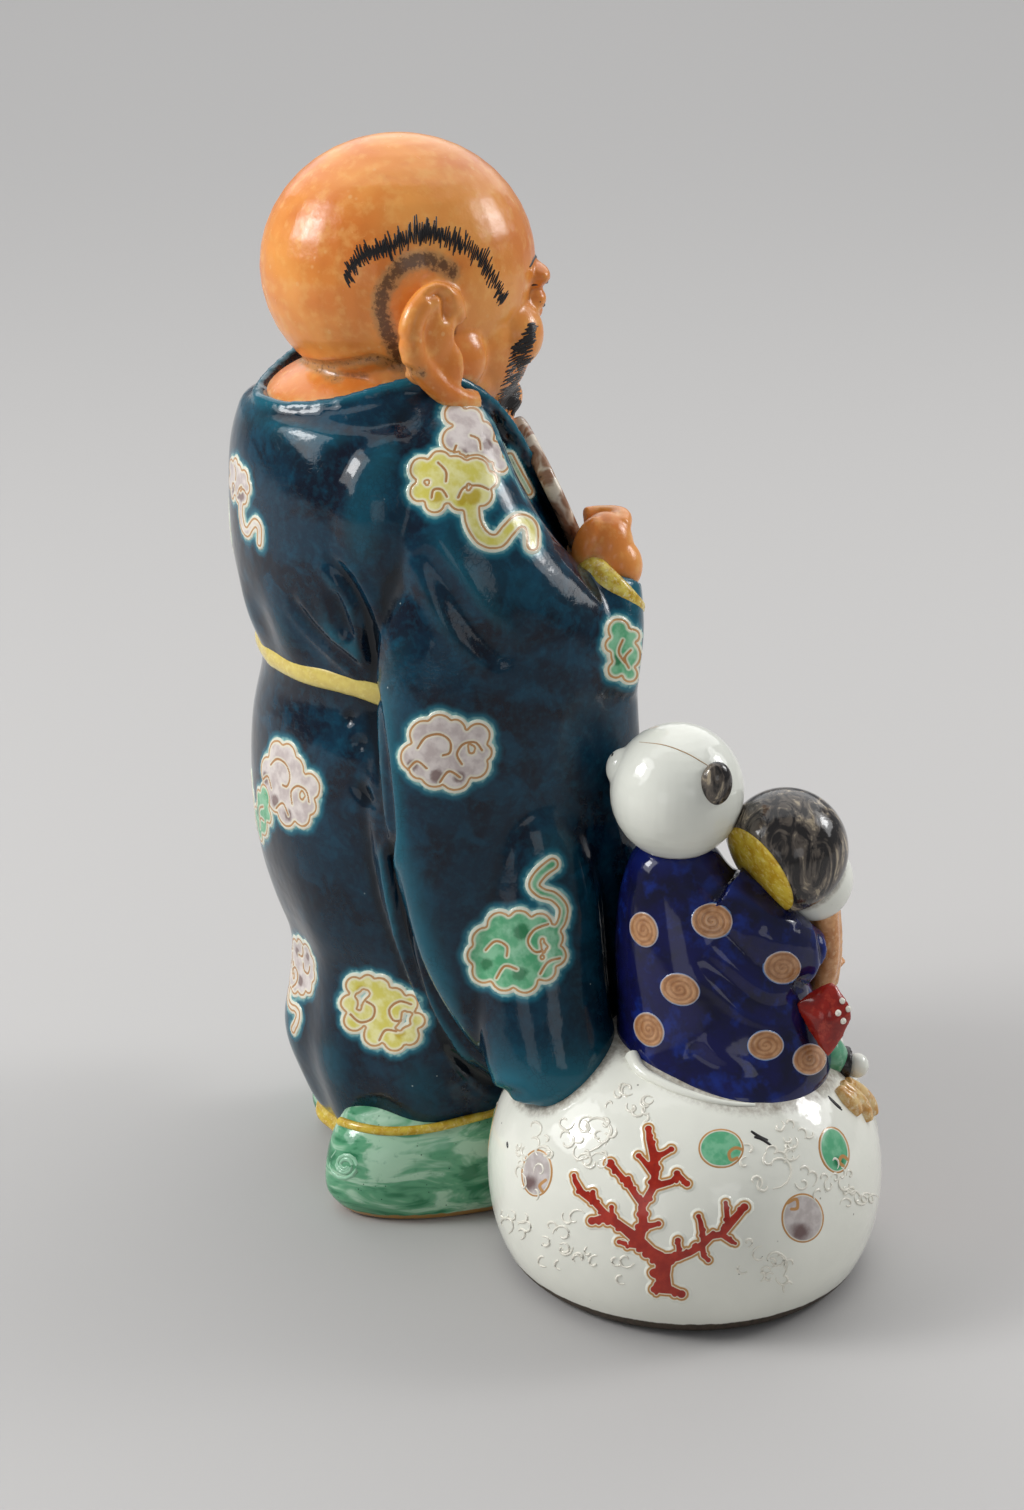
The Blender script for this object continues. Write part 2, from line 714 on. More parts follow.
def makeHands():
    right = [pebble("palm", *lump) for lump in hands["rightLumps"]]
    right.append(roll("wrist", [hands["wrist"]], steps=8, sides=8))
    left = [pebble("palm", *hands["leftPalm"])]
    for number in range(4):
        drop = hands["fingerStep"] * number
        path = [((x, y, z - drop), thick) for (x, y, z), thick in hands["rightFingers"]]
        right.append(roll("finger", [path], steps=16, sides=6))
        drops = (drop, 1.1 * drop, 1.2 * drop)
        path = [((x, y, z - down), thick) for ((x, y, z), thick), down in zip(hands["leftFingers"], drops)]
        left.append(roll("finger", [path], steps=14, sides=6))
    return [
        fuse("rightHand", right, hands["grain"], passes=5),
        fuse("leftHand", left, hands["grain"], passes=2),
    ]


rightHand, leftHand = makeHands()

fan = {
    "centre": (-15, -30, 203),
    "slope": (-0.45, -0.28, -0.85),
    "across": (-0.865, 0.367, 0.342),
    "width": 40.0,
    "length": 44.0,
    "thickness": 4.5,
    "edge": 1.6,
    "grain": 0.55,
    "grip": [((-33, -37, 188), 2.4), ((-41, -41, 181), 2.2)],  # from the leaf's lower end into the fist
    "stub": [((-15, -30, 203), 4.0), ((-12, -14, 202), 5.0)],  # holds the leaf to the chest
}


def makeFan():
    # a flat leaf, round like a full moon, on a short grip
    deselect()
    bpy.ops.mesh.primitive_circle_add(vertices=72, radius=mm, fill_type="NGON")
    leaf = bpy.context.object
    leaf.name = "fanLeaf"
    half = fan["thickness"] / 2
    bpy.ops.object.mode_set(mode="EDIT")
    bpy.ops.transform.resize(value=(fan["length"] / 2, fan["width"] / 2, 1.0))
    bpy.ops.transform.translate(value=(0.0, 0.0, -half * mm))
    bpy.ops.mesh.extrude_region_move(TRANSFORM_OT_translate={"value": (0.0, 0.0, 2 * half * mm)})
    endEdit()
    finish(leaf, "BEVEL", width=fan["edge"] * mm, segments=4)
    knead(leaf, fan["grain"], 3)
    points = pointsOf(leaf) / mm
    rim = 1.0 - np.hypot(points[:, 0] / fan["length"], points[:, 1] / fan["width"]) * 2.0
    paintValue(leaf, "rim", rim * fan["width"] / 2)
    along = Vector(fan["slope"]).normalized()
    across = Vector(fan["across"])
    across = (across - along * across.dot(along)).normalized()
    frameOf = Matrix((along, across, along.cross(across))).transposed().to_4x4()
    leaf.data.transform(Matrix.Translation(Vector(fan["centre"]) * mm) @ frameOf)
    start = (Vector(fan["centre"]) + along * 0.45 * fan["length"], 2.2)
    grip = roll("fanGrip", [[start, *fan["grip"]], fan["stub"]], steps=14, sides=8)
    polish(leaf, grip)
    return leaf, grip


fanLeaf, fanGrip = makeFan()
print("hands and fan")


# shoes, and the yellow linings that show under the hem and in the right cuff

shoes = {
    "grain": 0.85,
    "levels": [
        (0.0, -25.5, -1, 18.6, 38.5), (0.7, -25.5, -1, 19.4, 39.6), (3, -25.5, -0.5, 20.4, 41.3),
        (7, -25.5, 0, 21.5, 43), (15, -25.5, 0, 21.4, 42.6), (23, -25, 0, 20.3, 40), (29, -24, 0, 18, 34),
        (34, -24, 0, 11, 21),
    ],
    "leftStep": -14.0,
    "core": [(0.2, 0, 2, 26, 27), (10, 0, 2, 28, 29), (34, 0, 2, 34, 30)],  # dark under the robe, between the shoes
}  # fmt: skip


def makeShoes():
    right = layUp("rightShoe", shoes["levels"], steps=40, sides=48)
    left = mirrored(right)
    left.data.transform(Matrix.Translation((0.0, shoes["leftStep"] * mm, 0.0)))
    for piece, name in ((right, "rightShoe"), (left, "leftShoe")):
        piece.name = piece.data.name = name
        polish(knead(piece, shoes["grain"], 2))
        setDown(piece)
    return right, left


rightShoe, leftShoe = makeShoes()
shoeCore = layUp("shoeCore", shoes["core"], steps=10)

linings = {
    "hem": [
        (10, 0, 2, 27, 22), (16.6, 0, 2, 34.5, 28.8), (18.2, 0, 2, 37, 31), (20.2, 0, 2, 37.6, 31.5),
        (23, 0, 2, 36, 30),
    ],
    "hemTrim": (0, 2, 36.4, 30.6, 19.6, 1.5),  # centre, half width and depth, height, thickness
    "shoeTrim": [
        (310, 1096), (320, 1110), (345, 1123), (375, 1130), (402, 1131), (432, 1128), (462, 1121), (490, 1113),
        (500, 1108),
    ],
    "trimRadius": 1.35,
    "cuffRing": (9.6, 2.2),
    "cuffBand": 1.7,  # how much deeper than thick the band is
    "cuffCentre": (-46.8, -33.6, 183.4),
    "cuffAxis": (-0.053, -0.745, 0.665),
}  # fmt: skip


def makeLinings():
    hem = foldRobe(layUp("hemLining", linings["hem"], steps=16, sides=72))
    deselect()
    wide, thick = linings["cuffRing"]
    bpy.ops.mesh.primitive_torus_add(
        major_radius=wide * mm, minor_radius=thick * mm, major_segments=72, minor_segments=20
    )
    ring = bpy.context.object
    ring.name = "cuffLining"
    bpy.ops.transform.resize(value=(1.0, 1.0, linings["cuffBand"]))
    bpy.ops.object.transform_apply(location=False, rotation=False, scale=True)
    ring.data.transform(Matrix.Translation(Vector(linings["cuffCentre"]) * mm) @ facing(linings["cuffAxis"]))
    x, y, wide, deep, height, thick = linings["hemTrim"]
    turns = [math.radians(6 * step) for step in range(61)]
    edge = [((x + wide * math.cos(turn), y + deep * math.sin(turn), height), thick) for turn in turns]
    trim = foldRobe(roll("hemTrim", [edge], steps=150, sides=4))
    tree = treeOf(robeBody, rightShoe)
    row = front.line(tree, evenRows(linings["shoeTrim"], 40))
    overShoe = roll("shoeTrim", [[(spot / mm, linings["trimRadius"]) for spot in row]], steps=60, sides=4)
    hem = joined("hemLining", [hem, trim, overShoe])
    polish(hem, ring)
    return hem, ring


hemLining, cuffLining = makeLinings()
print("shoes and linings")


# the first child sits astride in a blue coat, its back to the open side


def onSack(x, y, z):
    return sackAxis + Vector((x, y, z))


blueChild = {
    "turn": 67.0,
    "coat": [
        (52, -7, -8, 26, 29), (59, -7, -7.5, 29.5, 31), (64, -7, -7.5, 29.3, 29.5), (70, -7, -7, 28.6, 25.6),
        (78, -6.4, -5.6, 27, 23), (92, -4, -3, 24.5, 21),
        (106, -1.5, 0.5, 19.5, 17), (115, 0, 3.5, 14, 13), (119.5, 0.5, 4, 11.5, 11), (122.5, 0.5, 4.2, 8, 8),
    ],
    "arms": [
        [((-8, -4, 108), 11), ((-16, -15, 98), 11), ((-15.5, -27, 90), 8.6)],
        [((10, 6, 108), 9), ((18, -10, 97), 9), ((12, -24, 89), 7.5)],
    ],
    "skull": ((0, 4.4, 137), (17.85, 17.85, 18.4)),
    "face": ((4, -1.5, 132), (12.85, 12.85, 11.8)),
    "tuft": ((-16.2, 1.1, 144.2), (3.4, 4.4, 6.0)),
    "ear": ((7.2, 16.6, 142.6), (4.8, 4.8, 5.6)),
    "neck": ((1, 3.5, 120), (9, 9, 4)),
    "lumps": ("skull", "face", "ear", "neck", "tuft"),
    "grain": 0.7,
    "headGrain": 0.6,
    "tuftGrain": 0.4,
}  # fmt: skip


def makeBlueChild():
    coat = [layUp("coat", blueChild["coat"], steps=30, turn=blueChild["turn"], foot=sackAxis)]
    paths = [[(onSack(*point), thick) for point, thick in arm] for arm in blueChild["arms"]]
    coat += [roll("arm", [path], steps=16, sides=8) for path in paths]
    *head, tuft = [pebble(part, onSack(*blueChild[part][0]), blueChild[part][1]) for part in blueChild["lumps"]]
    return (
        fuse("childCoat", coat, blueChild["grain"]),
        fuse("childHead", head, blueChild["headGrain"]),
        fuse("childTuft", [tuft], blueChild["tuftGrain"], passes=2),
    )


childCoat, childHead, childTuft = makeBlueChild()
print("first child", len(childCoat.data.polygons))


# the second child climbs up in front, with a black cap of hair and a red bib

redChild = {
    "chest": [(70, -4.5, -36, 7, 7), (76, -4.5, -36, 6.6, 6.8), (88, -6, -35, 6.4, 6.2), (100, -9, -33, 6, 6)],
    "bib": [
        (57, -4.5, -36.5, 4, 4), (63, -4.5, -36.5, 7.6, 7.4), (69, -4.5, -36.5, 8.6, 8.4), (75, -4.7, -36.2, 7, 6.8),
        (79.5, -5, -36, 3, 3),
    ],
    "apron": [(796, 1003), (832, 982), (851, 1014), (828, 1057)],  # corners of the bib's cloth, in pixels
    "apronNear": (806, 1012),  # it hangs just in front of the coat here
    "apronGap": 1.2,
    "apronPuff": 3.2,
    "apronThickness": 3.0,
    "dome": ((-14.5, -20.9, 121.7), 16.6),
    "cut": (-0.775, -0.545, 0.32),  # where the cap's flat yellow underside faces: right, up and towards the camera
    "cutDepth": 9.2,
    "brim": 1.5,
    "face": ((-11, -31, 110.5), (11.5, 11, 11.5)),
    "arms": [
        [((-10, -35, 76), 3.4), ((-13.5, -35.5, 88), 3.2), ((-14, -33.5, 102), 3.8)],
        [((-9, -38, 78), 3.2), ((-11.5, -38, 90), 2.8), ((-11, -36, 102), 3.6)],
        [((1, -36, 90), 4.2), ((5, -42, 82), 3.8), ((1, -47, 76), 3.4)],
    ],
    "legShift": (-4.4, 6.5, 5.4),
    "leg": [  # hip, knee, ankle and toe: middle and half gap across, depth, height, radius
        (-5, 4.5, -36, 56, 7.0), (-6, 6.5, -39.8, 55.5, 6.2), (-6.5, 6.5, -44, 52, 4.4), (-7, 7, -47, 51.5, 4.9),
    ],
    "footRadius": 4.9,
    "toeCap": ((-0.6, -2.3, -0.6), (3.3, 3.3, 3.6)),
    "grain": 0.6,
    "capGrain": 0.55,
}  # fmt: skip


def makeApron(coat):
    # a small square of cloth hung by one corner over the child's front, puffed in the middle
    deselect()
    bpy.ops.mesh.primitive_grid_add(x_subdivisions=20, y_subdivisions=20, size=2.0)
    apron = bpy.context.object
    apron.name = "apron"
    raw = pointsOf(apron)[:, :2]
    left, top, right, bottom = [np.array(corner, float) for corner in redChild["apron"]]
    u, v = (raw[:, :1] + 1) / 2, (raw[:, 1:] + 1) / 2
    dots = (1 - v) * ((1 - u) * left + u * bottom) + v * ((1 - u) * top + u * right)
    place = front.touch(treeOf(coat), *redChild["apronNear"])
    far = -(place - front.eye).dot(front.back) - redChild["apronGap"] * mm
    puff = (1 - raw[:, 0] ** 2) * (1 - raw[:, 1] ** 2) * redChild["apronPuff"] * mm
    places = []
    for (x, y), rise in zip(dots, puff):
        ray = front.ray(x, y)
        places.append(front.eye + ray * ((far - float(rise)) / -ray.dot(front.back)))
    movePoints(apron, np.array(places))
    finish(apron, "SOLIDIFY", thickness=redChild["apronThickness"] * mm, offset=0.0)
    bpy.ops.object.mode_set(mode="EDIT")
    endEdit()
    return apron


def makeRedChild():
    bib = layUp("bib", redChild["bib"], steps=22, foot=sackAxis)
    chest = layUp("chest", redChild["chest"], steps=14, foot=sackAxis)
    arms = [roll("arm", [[(onSack(*point), thick) for point, thick in arm]], 14, 8) for arm in redChild["arms"]]
    dome = pebble("hairCap", onSack(*redChild["dome"][0]), [redChild["dome"][1]] * 3, segments=64)
    face = pebble("childFace", onSack(*redChild["face"][0]), redChild["face"][1], segments=64)
    right, up, near = redChild["cut"]
    away = (front.right * right + front.up * up + front.back * near).normalized()
    cutPlace = (onSack(*redChild["dome"][0]) + away * redChild["cutDepth"]) * mm
    pick(dome)
    bpy.ops.object.mode_set(mode="EDIT")
    bpy.ops.mesh.select_all(action="SELECT")
    bpy.ops.mesh.bisect(plane_co=cutPlace, plane_no=away, use_fill=True, clear_outer=True)
    bpy.ops.object.mode_set(mode="OBJECT")
    knead(dome, redChild["capGrain"], 3)
    reach = math.sqrt(redChild["dome"][1] ** 2 - redChild["cutDepth"] ** 2) - 0.7
    brim = pebble("capBrim", (0, 0, 0), (reach, reach, redChild["brim"]), segments=64)
    brim.data.transform(Matrix.Translation(cutPlace) @ facing(away))
    apron = makeApron(childCoat)
    legs, feet, toes = [], [], []
    shift = Vector(redChild["legShift"])
    for side in (-1, 1):
        spots = [(onSack(x + apart * side, y, z) + shift, thick) for x, apart, y, z, thick in redChild["leg"]]
        legs.append(roll("leg", [spots[:3]], 12, 8))
        ankle, toe = spots[2][0], spots[3][0]
        feet.append(roll("foot", [[(ankle, redChild["footRadius"]), (toe, redChild["footRadius"])]], 8, 8))
        toes.append(pebble("toe", toe + Vector(redChild["toeCap"][0]), redChild["toeCap"][1]))
    grain = redChild["grain"]
    polish(dome, face, brim)
    return (
        fuse("redBib", [bib, apron], grain, passes=9),
        fuse("childArms", [chest, *arms], grain),
        dome,
        brim,
        face,
        fuse("trousers", legs, grain),
        fuse("childShoes", feet, grain),
        fuse("childToes", toes, grain),
    )


redBib, childArms, hairCap, capBrim, childFace, trousers, childShoes, childToes = makeRedChild()
print("second child")


# folds of the child's coat, the pale hem under it, and the gathered mouth of the sack

coatFolds = [  # points in the photograph's pixels, then width, depth and lip in mm
    ([(700, 957), (727, 979), (752, 1000), (774, 1008), (797, 1004)], 2.2, 0.9, 0.3),
    ([(817, 929), (822, 957), (820, 992), (797, 1004)], 1.2, 0.5, 0.2),
    ([(690, 870), (720, 900), (760, 925)], 2.4, 0.7, 0.3),
    ([(690, 1050), (715, 1072), (760, 1085)], 2.5, 0.6, 0.3),
]


def pressFolds(piece, folds):
    tree = treeOf(piece)
    for line, width, depth, lip in folds:
        crease(piece, tree, line, width, depth, lip)


pressFolds(childCoat, coatFolds)

pleats = {
    "hem": [
        (632, 1056), (637, 1066), (645, 1074), (659, 1081), (676, 1089), (696, 1096), (715, 1101), (735, 1104),
        (755, 1105),
    ],
    "hemRadius": 2.0,
    "hemTaper": 0.19,  # it thins by this from point to point
    "grain": 0.4,
    "mouth": [
        [(836, 1088), (844, 1098), (852, 1106), (858, 1114)], [(840, 1084), (852, 1096), (862, 1108), (868, 1122)],
        [(846, 1082), (858, 1092), (868, 1104), (873, 1116)], [(853, 1080), (864, 1089), (872, 1100), (876, 1110)],
    ],
}  # fmt: skip


def makePleats():
    tree = treeOf(sackBag, childCoat)
    radii = [pleats["hemRadius"] - pleats["hemTaper"] * step for step in range(len(pleats["hem"]))]
    hem = [(front.touch(tree, x, y) / mm, radius) for (x, y), radius in zip(pleats["hem"], radii)]
    hemRoll = roll("coatHem", [hem], steps=50, sides=4)
    rolls = []
    for line in pleats["mouth"]:
        row = front.line(tree, line)
        swell = [math.sin(math.pi * (step + 0.5) / len(row)) for step in range(len(row))]
        if len(row) > 1:
            rolls.append([(spot / mm, 1.2 + 1.5 * share) for spot, share in zip(row, swell)])
    pleatRolls = fuse("sackMouth", [roll("pleats", rolls, steps=16, sides=6)], pleats["grain"], passes=10)
    polish(hemRoll, pleatRolls)
    return hemRoll, pleatRolls


coatHem, sackMouth = makePleats()
print("pleats")


# folds pressed into the robe, each along a line of the photograph: points, width, depth and lip in mm

robeFolds = [
    ([(324, 557), (341, 573), (355, 594), (366, 619), (372, 648), (378, 677)], 2.0, 1.6, 0.8),
    ([(333, 590), (343, 623), (353, 640)], 2.6, 1.8, 0.3),
    ([(290, 597), (312, 626), (341, 654), (368, 674)], 1.8, 0.9, 0.6),
    ([(420, 548), (449, 590), (473, 627), (511, 664)], 3.0, 1.2, 0.5),
    (
        [
            (378, 690), (383, 740), (389, 800), (394, 860), (401, 910), (409, 955), (428, 1010), (456, 1052),
            (495, 1086), (528, 1096),
        ],
        1.8, 1.8, 0.9,
    ),
    ([(346, 712), (352, 724)], 2.0, 1.0, 0.0),
    ([(356, 738), (362, 750)], 2.0, 0.9, 0.0),
    ([(353, 780), (365, 795), (378, 809)], 2.0, 0.9, 0.2),
]  # fmt: skip

pressFolds(robeBody, robeFolds)
print("folds")


# glazes

cream = shade(238, 232, 208)
gold = shade(178, 128, 78)


def robeGlaze():
    glaze = Glaze("tealGlaze", roughness=0.09)
    cloud = glaze.noise(24.0, 3, 0.55, warp=0.7).between(0.42, 0.60)
    patch = glaze.noise(8.0, 4, 0.6, warp=0.5).between(0.48, 0.66)
    fine = glaze.noise(2.0, 3, 0.6).between(0.42, 0.75)
    base = glaze.mix(cloud, shade(10, 18, 34), shade(7, 43, 63))
    base = glaze.mix(patch * 0.55, base, shade(10, 68, 92))
    base = glaze.mix(fine * 0.22, base, shade(22, 88, 110))
    base = glaze.mix(glaze.height().between(150.0, 90.0) * 0.4, base, shade(6, 22, 36))
    relief = glaze.value("relief")
    base = glaze.mix(relief.between(0.35, 1.5) * 0.65, base, shade(28, 112, 132))
    base = glaze.mix((-1.0 * relief).between(0.08, 0.8) * 0.9, base, shade(9, 16, 24))
    crackle = glaze.cells(1.5).between(0.09, 0.0) * glaze.noise(11.0).between(0.4, 0.6)
    base = glaze.mix(crackle * 0.3, base, shade(10, 26, 36))
    halo = glaze.value("halo")
    base = glaze.mix(halo.between(0.1, 0.75) * 0.8, base, shade(24, 106, 126))
    base = glaze.mix(halo.between(0.62, 1.0), base, shade(150, 200, 194))
    specks = glaze.specks(6.0, 0.05) * glaze.noise(14.0).between(0.5, 0.6)
    base = glaze.mix(specks * 0.7, base, shade(190, 210, 210))
    glaze.dye(base)
    swell = glaze.noise(6.0, 1) * 0.85 + glaze.noise(1.3, 1) * 0.12
    glaze.ripple(swell + crackle * -0.05 + specks * 0.2, 0.5, 0.35)
    glaze.shader.inputs["Specular IOR Level"].default_value = 0.33
    return glaze


def skinGlaze():
    glaze = Glaze("orangeSkin", roughness=0.2)
    broad = glaze.noise(22.0, 2, warp=0.3).between(0.3, 0.7)
    mottled = glaze.noise(3.6, 3, 0.55).between(0.46, 0.72)
    base = glaze.mix(broad, shade(220, 126, 50), shade(240, 160, 78))
    base = glaze.mix(mottled * 0.4, base, shade(246, 186, 106))
    base = glaze.mix(glaze.noise(9.0, 3).between(0.58, 0.76) * 0.4, base, shade(208, 112, 52))
    base = glaze.mix(glaze.specks(4.0, 0.2) * glaze.noise(12.0).between(0.5, 0.62) * 0.45, base, shade(240, 192, 128))
    relief = glaze.value("relief")
    grime = (-1.0 * relief).between(0.15, 1.5)
    base = glaze.mix(grime * 0.5, base, shade(186, 104, 52))
    dirt = (grime * (glaze.noise(1.4, 4, 0.7) + 0.3)).between(0.32, 0.8)
    base = glaze.mix(dirt * 0.8, base, shade(84, 56, 36))
    soil = glaze.value("soil")
    thin = (soil + glaze.noise(2.6, 4, 0.65) * 0.7 - 0.35).between(0.15, 0.6)
    base = glaze.mix(thin * 0.75, base, shade(186, 140, 88))
    thick = (soil + glaze.noise(1.5, 4, 0.7) * 1.9 - 0.95).between(0.5, 0.95)
    base = glaze.mix(thick * 0.85, base, shade(84, 54, 32))
    pale = glaze.value("near").between(0.55, 1.0) * glaze.noise(1.8, 3).between(0.3, 0.6)
    base = glaze.mix(pale * 0.55, base, shade(220, 190, 130))
    base = glaze.mix(glaze.value("near").between(0.93, 1.0), base, shade(62, 48, 40))
    glaze.dye(base)
    glaze.gloss(0.16 + glaze.noise(2.4, 3) * 0.16)
    glaze.ripple(glaze.noise(1.5, 3), 0.35, 0.18)
    return glaze


def porcelainGlaze(name, tint, edge=0.0):
    # glossy white porcelain with dust where it meets its neighbours, and a bare dark foot up to the edge
    glaze = Glaze(name, roughness=0.07)
    base = glaze.mix(glaze.noise(20.0, 2).between(0.3, 0.7), tint, [part * 0.93 for part in tint])
    relief = glaze.value("relief")
    dust = (-1.0 * relief).between(0.1, 1.0) * 0.6 + glaze.value("near").between(0.15, 1.0)
    dirt = (dust * (glaze.noise(1.6, 4, 0.65) + 0.25)).between(0.25, 0.95)
    base = glaze.mix(dirt * 0.75, base, shade(112, 92, 70))
    pits = glaze.specks(9.0, 0.045) * glaze.noise(11.0).between(0.5, 0.55)
    base = glaze.mix(pits * 0.7, base, shade(90, 80, 66))
    if edge:
        wander = glaze.height() + glaze.noise(4.0, 3) * -1.1
        foot = wander.between(edge + 0.3, edge - 0.1)
        base = glaze.mix(foot, base, glaze.mix(glaze.noise(1.2), shade(36, 30, 26), shade(92, 78, 62)))
        glaze.gloss(0.07 + foot * 0.7)
    glaze.dye(base)
    glaze.ripple(glaze.noise(4.5, 2), 0.3, 0.35)
    return glaze


def plainGlaze(name, deep, main, light, grain=3.0, roughness=0.12, edge=0.0, edgeColour=(0.2, 0.13, 0.06)):
    # one enamel colour that pools dark in hollows and thins pale on ridges
    glaze = Glaze(name, roughness=roughness)
    base = glaze.mix(glaze.noise(grain, 4, 0.6).between(0.36, 0.66), main, deep)
    base = glaze.mix(glaze.noise(grain * 0.45, 3, 0.6).between(0.5, 0.72) * 0.7, base, light)
    relief = glaze.value("relief")
    base = glaze.mix(relief.between(0.2, 0.9) * 0.6, base, light)
    base = glaze.mix((-1.0 * relief).between(0.08, 0.8) * 0.8, base, [part * 0.35 for part in deep])
    if edge:
        wander = glaze.height() + glaze.noise(3.0, 3) * -1.0
        base = glaze.mix(wander.between(edge + 0.4, edge), base, edgeColour)
    glaze.dye(base)
    glaze.ripple(glaze.noise(grain, 3), 0.4, 0.25)
    return glaze


def shoeGlaze():
    # green enamel run in bands over white, with dark specks and an ochre foot
    glaze = Glaze("shoeGreen", roughness=0.1)
    bands = glaze.noise(9.0, 3, 0.55, where=glaze.place(stretch=(0.5, 0.5, 1.7)), warp=0.9)
    base = glaze.mix(bands.between(0.34, 0.46), shade(44, 120, 80), shade(94, 160, 120))
    base = glaze.mix(bands.between(0.46, 0.6), base, shade(166, 204, 174))
    base = glaze.mix(glaze.noise(2.4, 3).between(0.58, 0.78) * 0.4, base, shade(40, 112, 74))
    specks = glaze.specks(2.2, 0.14) * glaze.noise(7.0).between(0.48, 0.58)
    base = glaze.mix(specks * 0.8, base, shade(14, 60, 44))
    base = glaze.mix((-1.0 * glaze.value("relief")).between(0.1, 0.8) * 0.7, base, shade(20, 60, 44))
    foot = (glaze.height() + glaze.noise(3.0, 3) * -1.2).between(2.0, 1.4)
    base = glaze.mix(foot, base, shade(168, 124, 66))
    glaze.dye(base)
    glaze.ripple(bands, 0.4, 0.4)
    return glaze


def fanGlaze():
    # cream with brown streaks round the rim, teal in patches within
    glaze = Glaze("fanGlaze", roughness=0.14)
    rim = glaze.value("rim") + glaze.noise(6.0, 3, warp=0.5) * 7.0 - 3.5
    streak = glaze.noise(5.5, 3, 0.6, where=glaze.place(stretch=(0.8, 0.8, 0.5)), warp=0.6)
    base = glaze.mix(streak.between(0.45, 0.58) * 0.85, shade(232, 220, 200), shade(140, 86, 48))
    base = glaze.mix(streak.between(0.6, 0.68), base, shade(54, 44, 40))
    base = glaze.mix(rim.between(3.4, 5.0), base, shade(24, 74, 82))
    base = glaze.mix(rim.between(3.0, 3.7) * rim.between(4.8, 4.1), base, gold)
    glaze.dye(base)
    glaze.ripple(glaze.noise(2.5, 3), 0.4, 0.3)
    return glaze


def hairGlaze():
    # black enamel brushed thin, so that the streaks of the brush show grey-brown
    glaze = Glaze("blackHair", roughness=0.09)
    swirl = glaze.noise(6.0, 4, 0.6, where=glaze.place(turn=(0.5, 0.5, 0.3), stretch=(1.1, 1.1, 0.3)), warp=2.0)
    base = glaze.mix(swirl.between(0.42, 0.56), shade(34, 31, 30), shade(92, 84, 76))
    base = glaze.mix(swirl.between(0.57, 0.66) * 0.85, base, shade(172, 158, 134))
    glaze.dye(base)
    glaze.ripple(swirl, 0.4, 0.3)
    return glaze


glazes = {
    "robe": robeGlaze(),
    "skin": skinGlaze(),
    "white": porcelainGlaze("childWhite", shade(238, 239, 228)),
    "sack": porcelainGlaze("sackWhite", shade(240, 240, 228), edge=4.2),
    "yellow": plainGlaze("yellowEnamel", shade(190, 150, 34), shade(212, 184, 66), shade(232, 216, 132), 3.2),
    "green": shoeGlaze(),
    "core": plainGlaze("darkRobe", shade(8, 20, 26), shade(14, 34, 42), shade(20, 50, 58)),
    "fan": fanGlaze(),
    "blue": plainGlaze("cobaltBlue", shade(18, 18, 44), shade(18, 20, 74), shade(22, 46, 128), 14.0, 0.08),
    "hair": hairGlaze(),
    "red": plainGlaze("redEnamel", shade(128, 22, 14), shade(158, 34, 22), shade(184, 66, 46), 5.0),
    "arm": plainGlaze("childSkin", shade(196, 130, 76), shade(222, 164, 110), shade(238, 196, 150), 3.0),
    "leg": plainGlaze("legGreen", shade(70, 140, 104), shade(104, 166, 132), shade(144, 192, 162), 5.0),
    "black": plainGlaze("blackBrush", shade(16, 14, 14), shade(26, 23, 22), shade(46, 42, 40), 1.5, 0.25),
    "mouth": plainGlaze("goldCream", shade(196, 140, 66), shade(222, 190, 130), shade(240, 226, 192), 3.0),
    "lining": plainGlaze("cuffYellow", shade(196, 158, 40), shade(232, 212, 98), shade(246, 238, 190), 2.4),
}  # fmt: skip

glazes["blue"].shader.inputs["Specular IOR Level"].default_value = 0.4

dressed = {
    "robe": [robeBody],
    "skin": [monkSkin, rightHand, leftHand],
    "white": [childHead, childFace, childToes],
    "sack": [sackBag, coatHem],
    "yellow": [sashBand, hemLining, capBrim],
    "green": [rightShoe, leftShoe],
    "core": [shoeCore],
    "fan": [fanLeaf, fanGrip],
    "blue": [childCoat],
    "hair": [hairCap, childTuft],
    "red": [redBib],
    "arm": [childArms],
    "leg": [trousers],
    "black": [childShoes],
    "lining": [cuffLining],
    "mouth": [sackMouth],
}
for look, group in dressed.items():
    glazes[look].onto(*group)

reliefs = [  # how many passes of blur the ridges and hollows are measured against
    (robeBody, 60), (sashBand, 60), (monkSkin, 40), (rightHand, 25), (leftHand, 25), (rightShoe, 40),
    (leftShoe, 40), (sackBag, 40), (childCoat, 50), (sackMouth, 12), (childHead, 30), (redBib, 20),
    (childArms, 15), (trousers, 15),
]  # fmt: skip
for piece, passes in reliefs:
    paintRelief(piece, passes)

soiled = {  # lines of the photograph, and how strongly dirt has settled on them
    "behindEar": [
        (452, 272), (436, 262), (418, 260), (402, 266), (389, 281), (381, 300), (384, 322), (392, 342), (400, 360),
    ],
    "neckLine": [(286, 350), (300, 358), (325, 364), (350, 362), (375, 358), (395, 364), (420, 374)],
    "strength": {"behindEar": 1.0, "neckLine": 0.6},
    "reach": 2.6,
}  # fmt: skip


def paintSoil(piece):
    # brown dirt that has settled round the ears and in the fold of the neck, on both sides
    tree = treeOf(piece)
    values = np.zeros(len(piece.data.vertices))
    points = pointsOf(piece)
    for name, strength in soiled["strength"].items():
        line = np.array(front.line(tree, evenRows(soiled[name], 24)))
        for side in (1.0, -1.0):
            gap = lineGap(points, line * (side, 1.0, 1.0))[0] / (soiled["reach"] * mm)
            values = np.maximum(values, strength * np.exp(-(gap**2)))
    paintValue(piece, "soil", values)


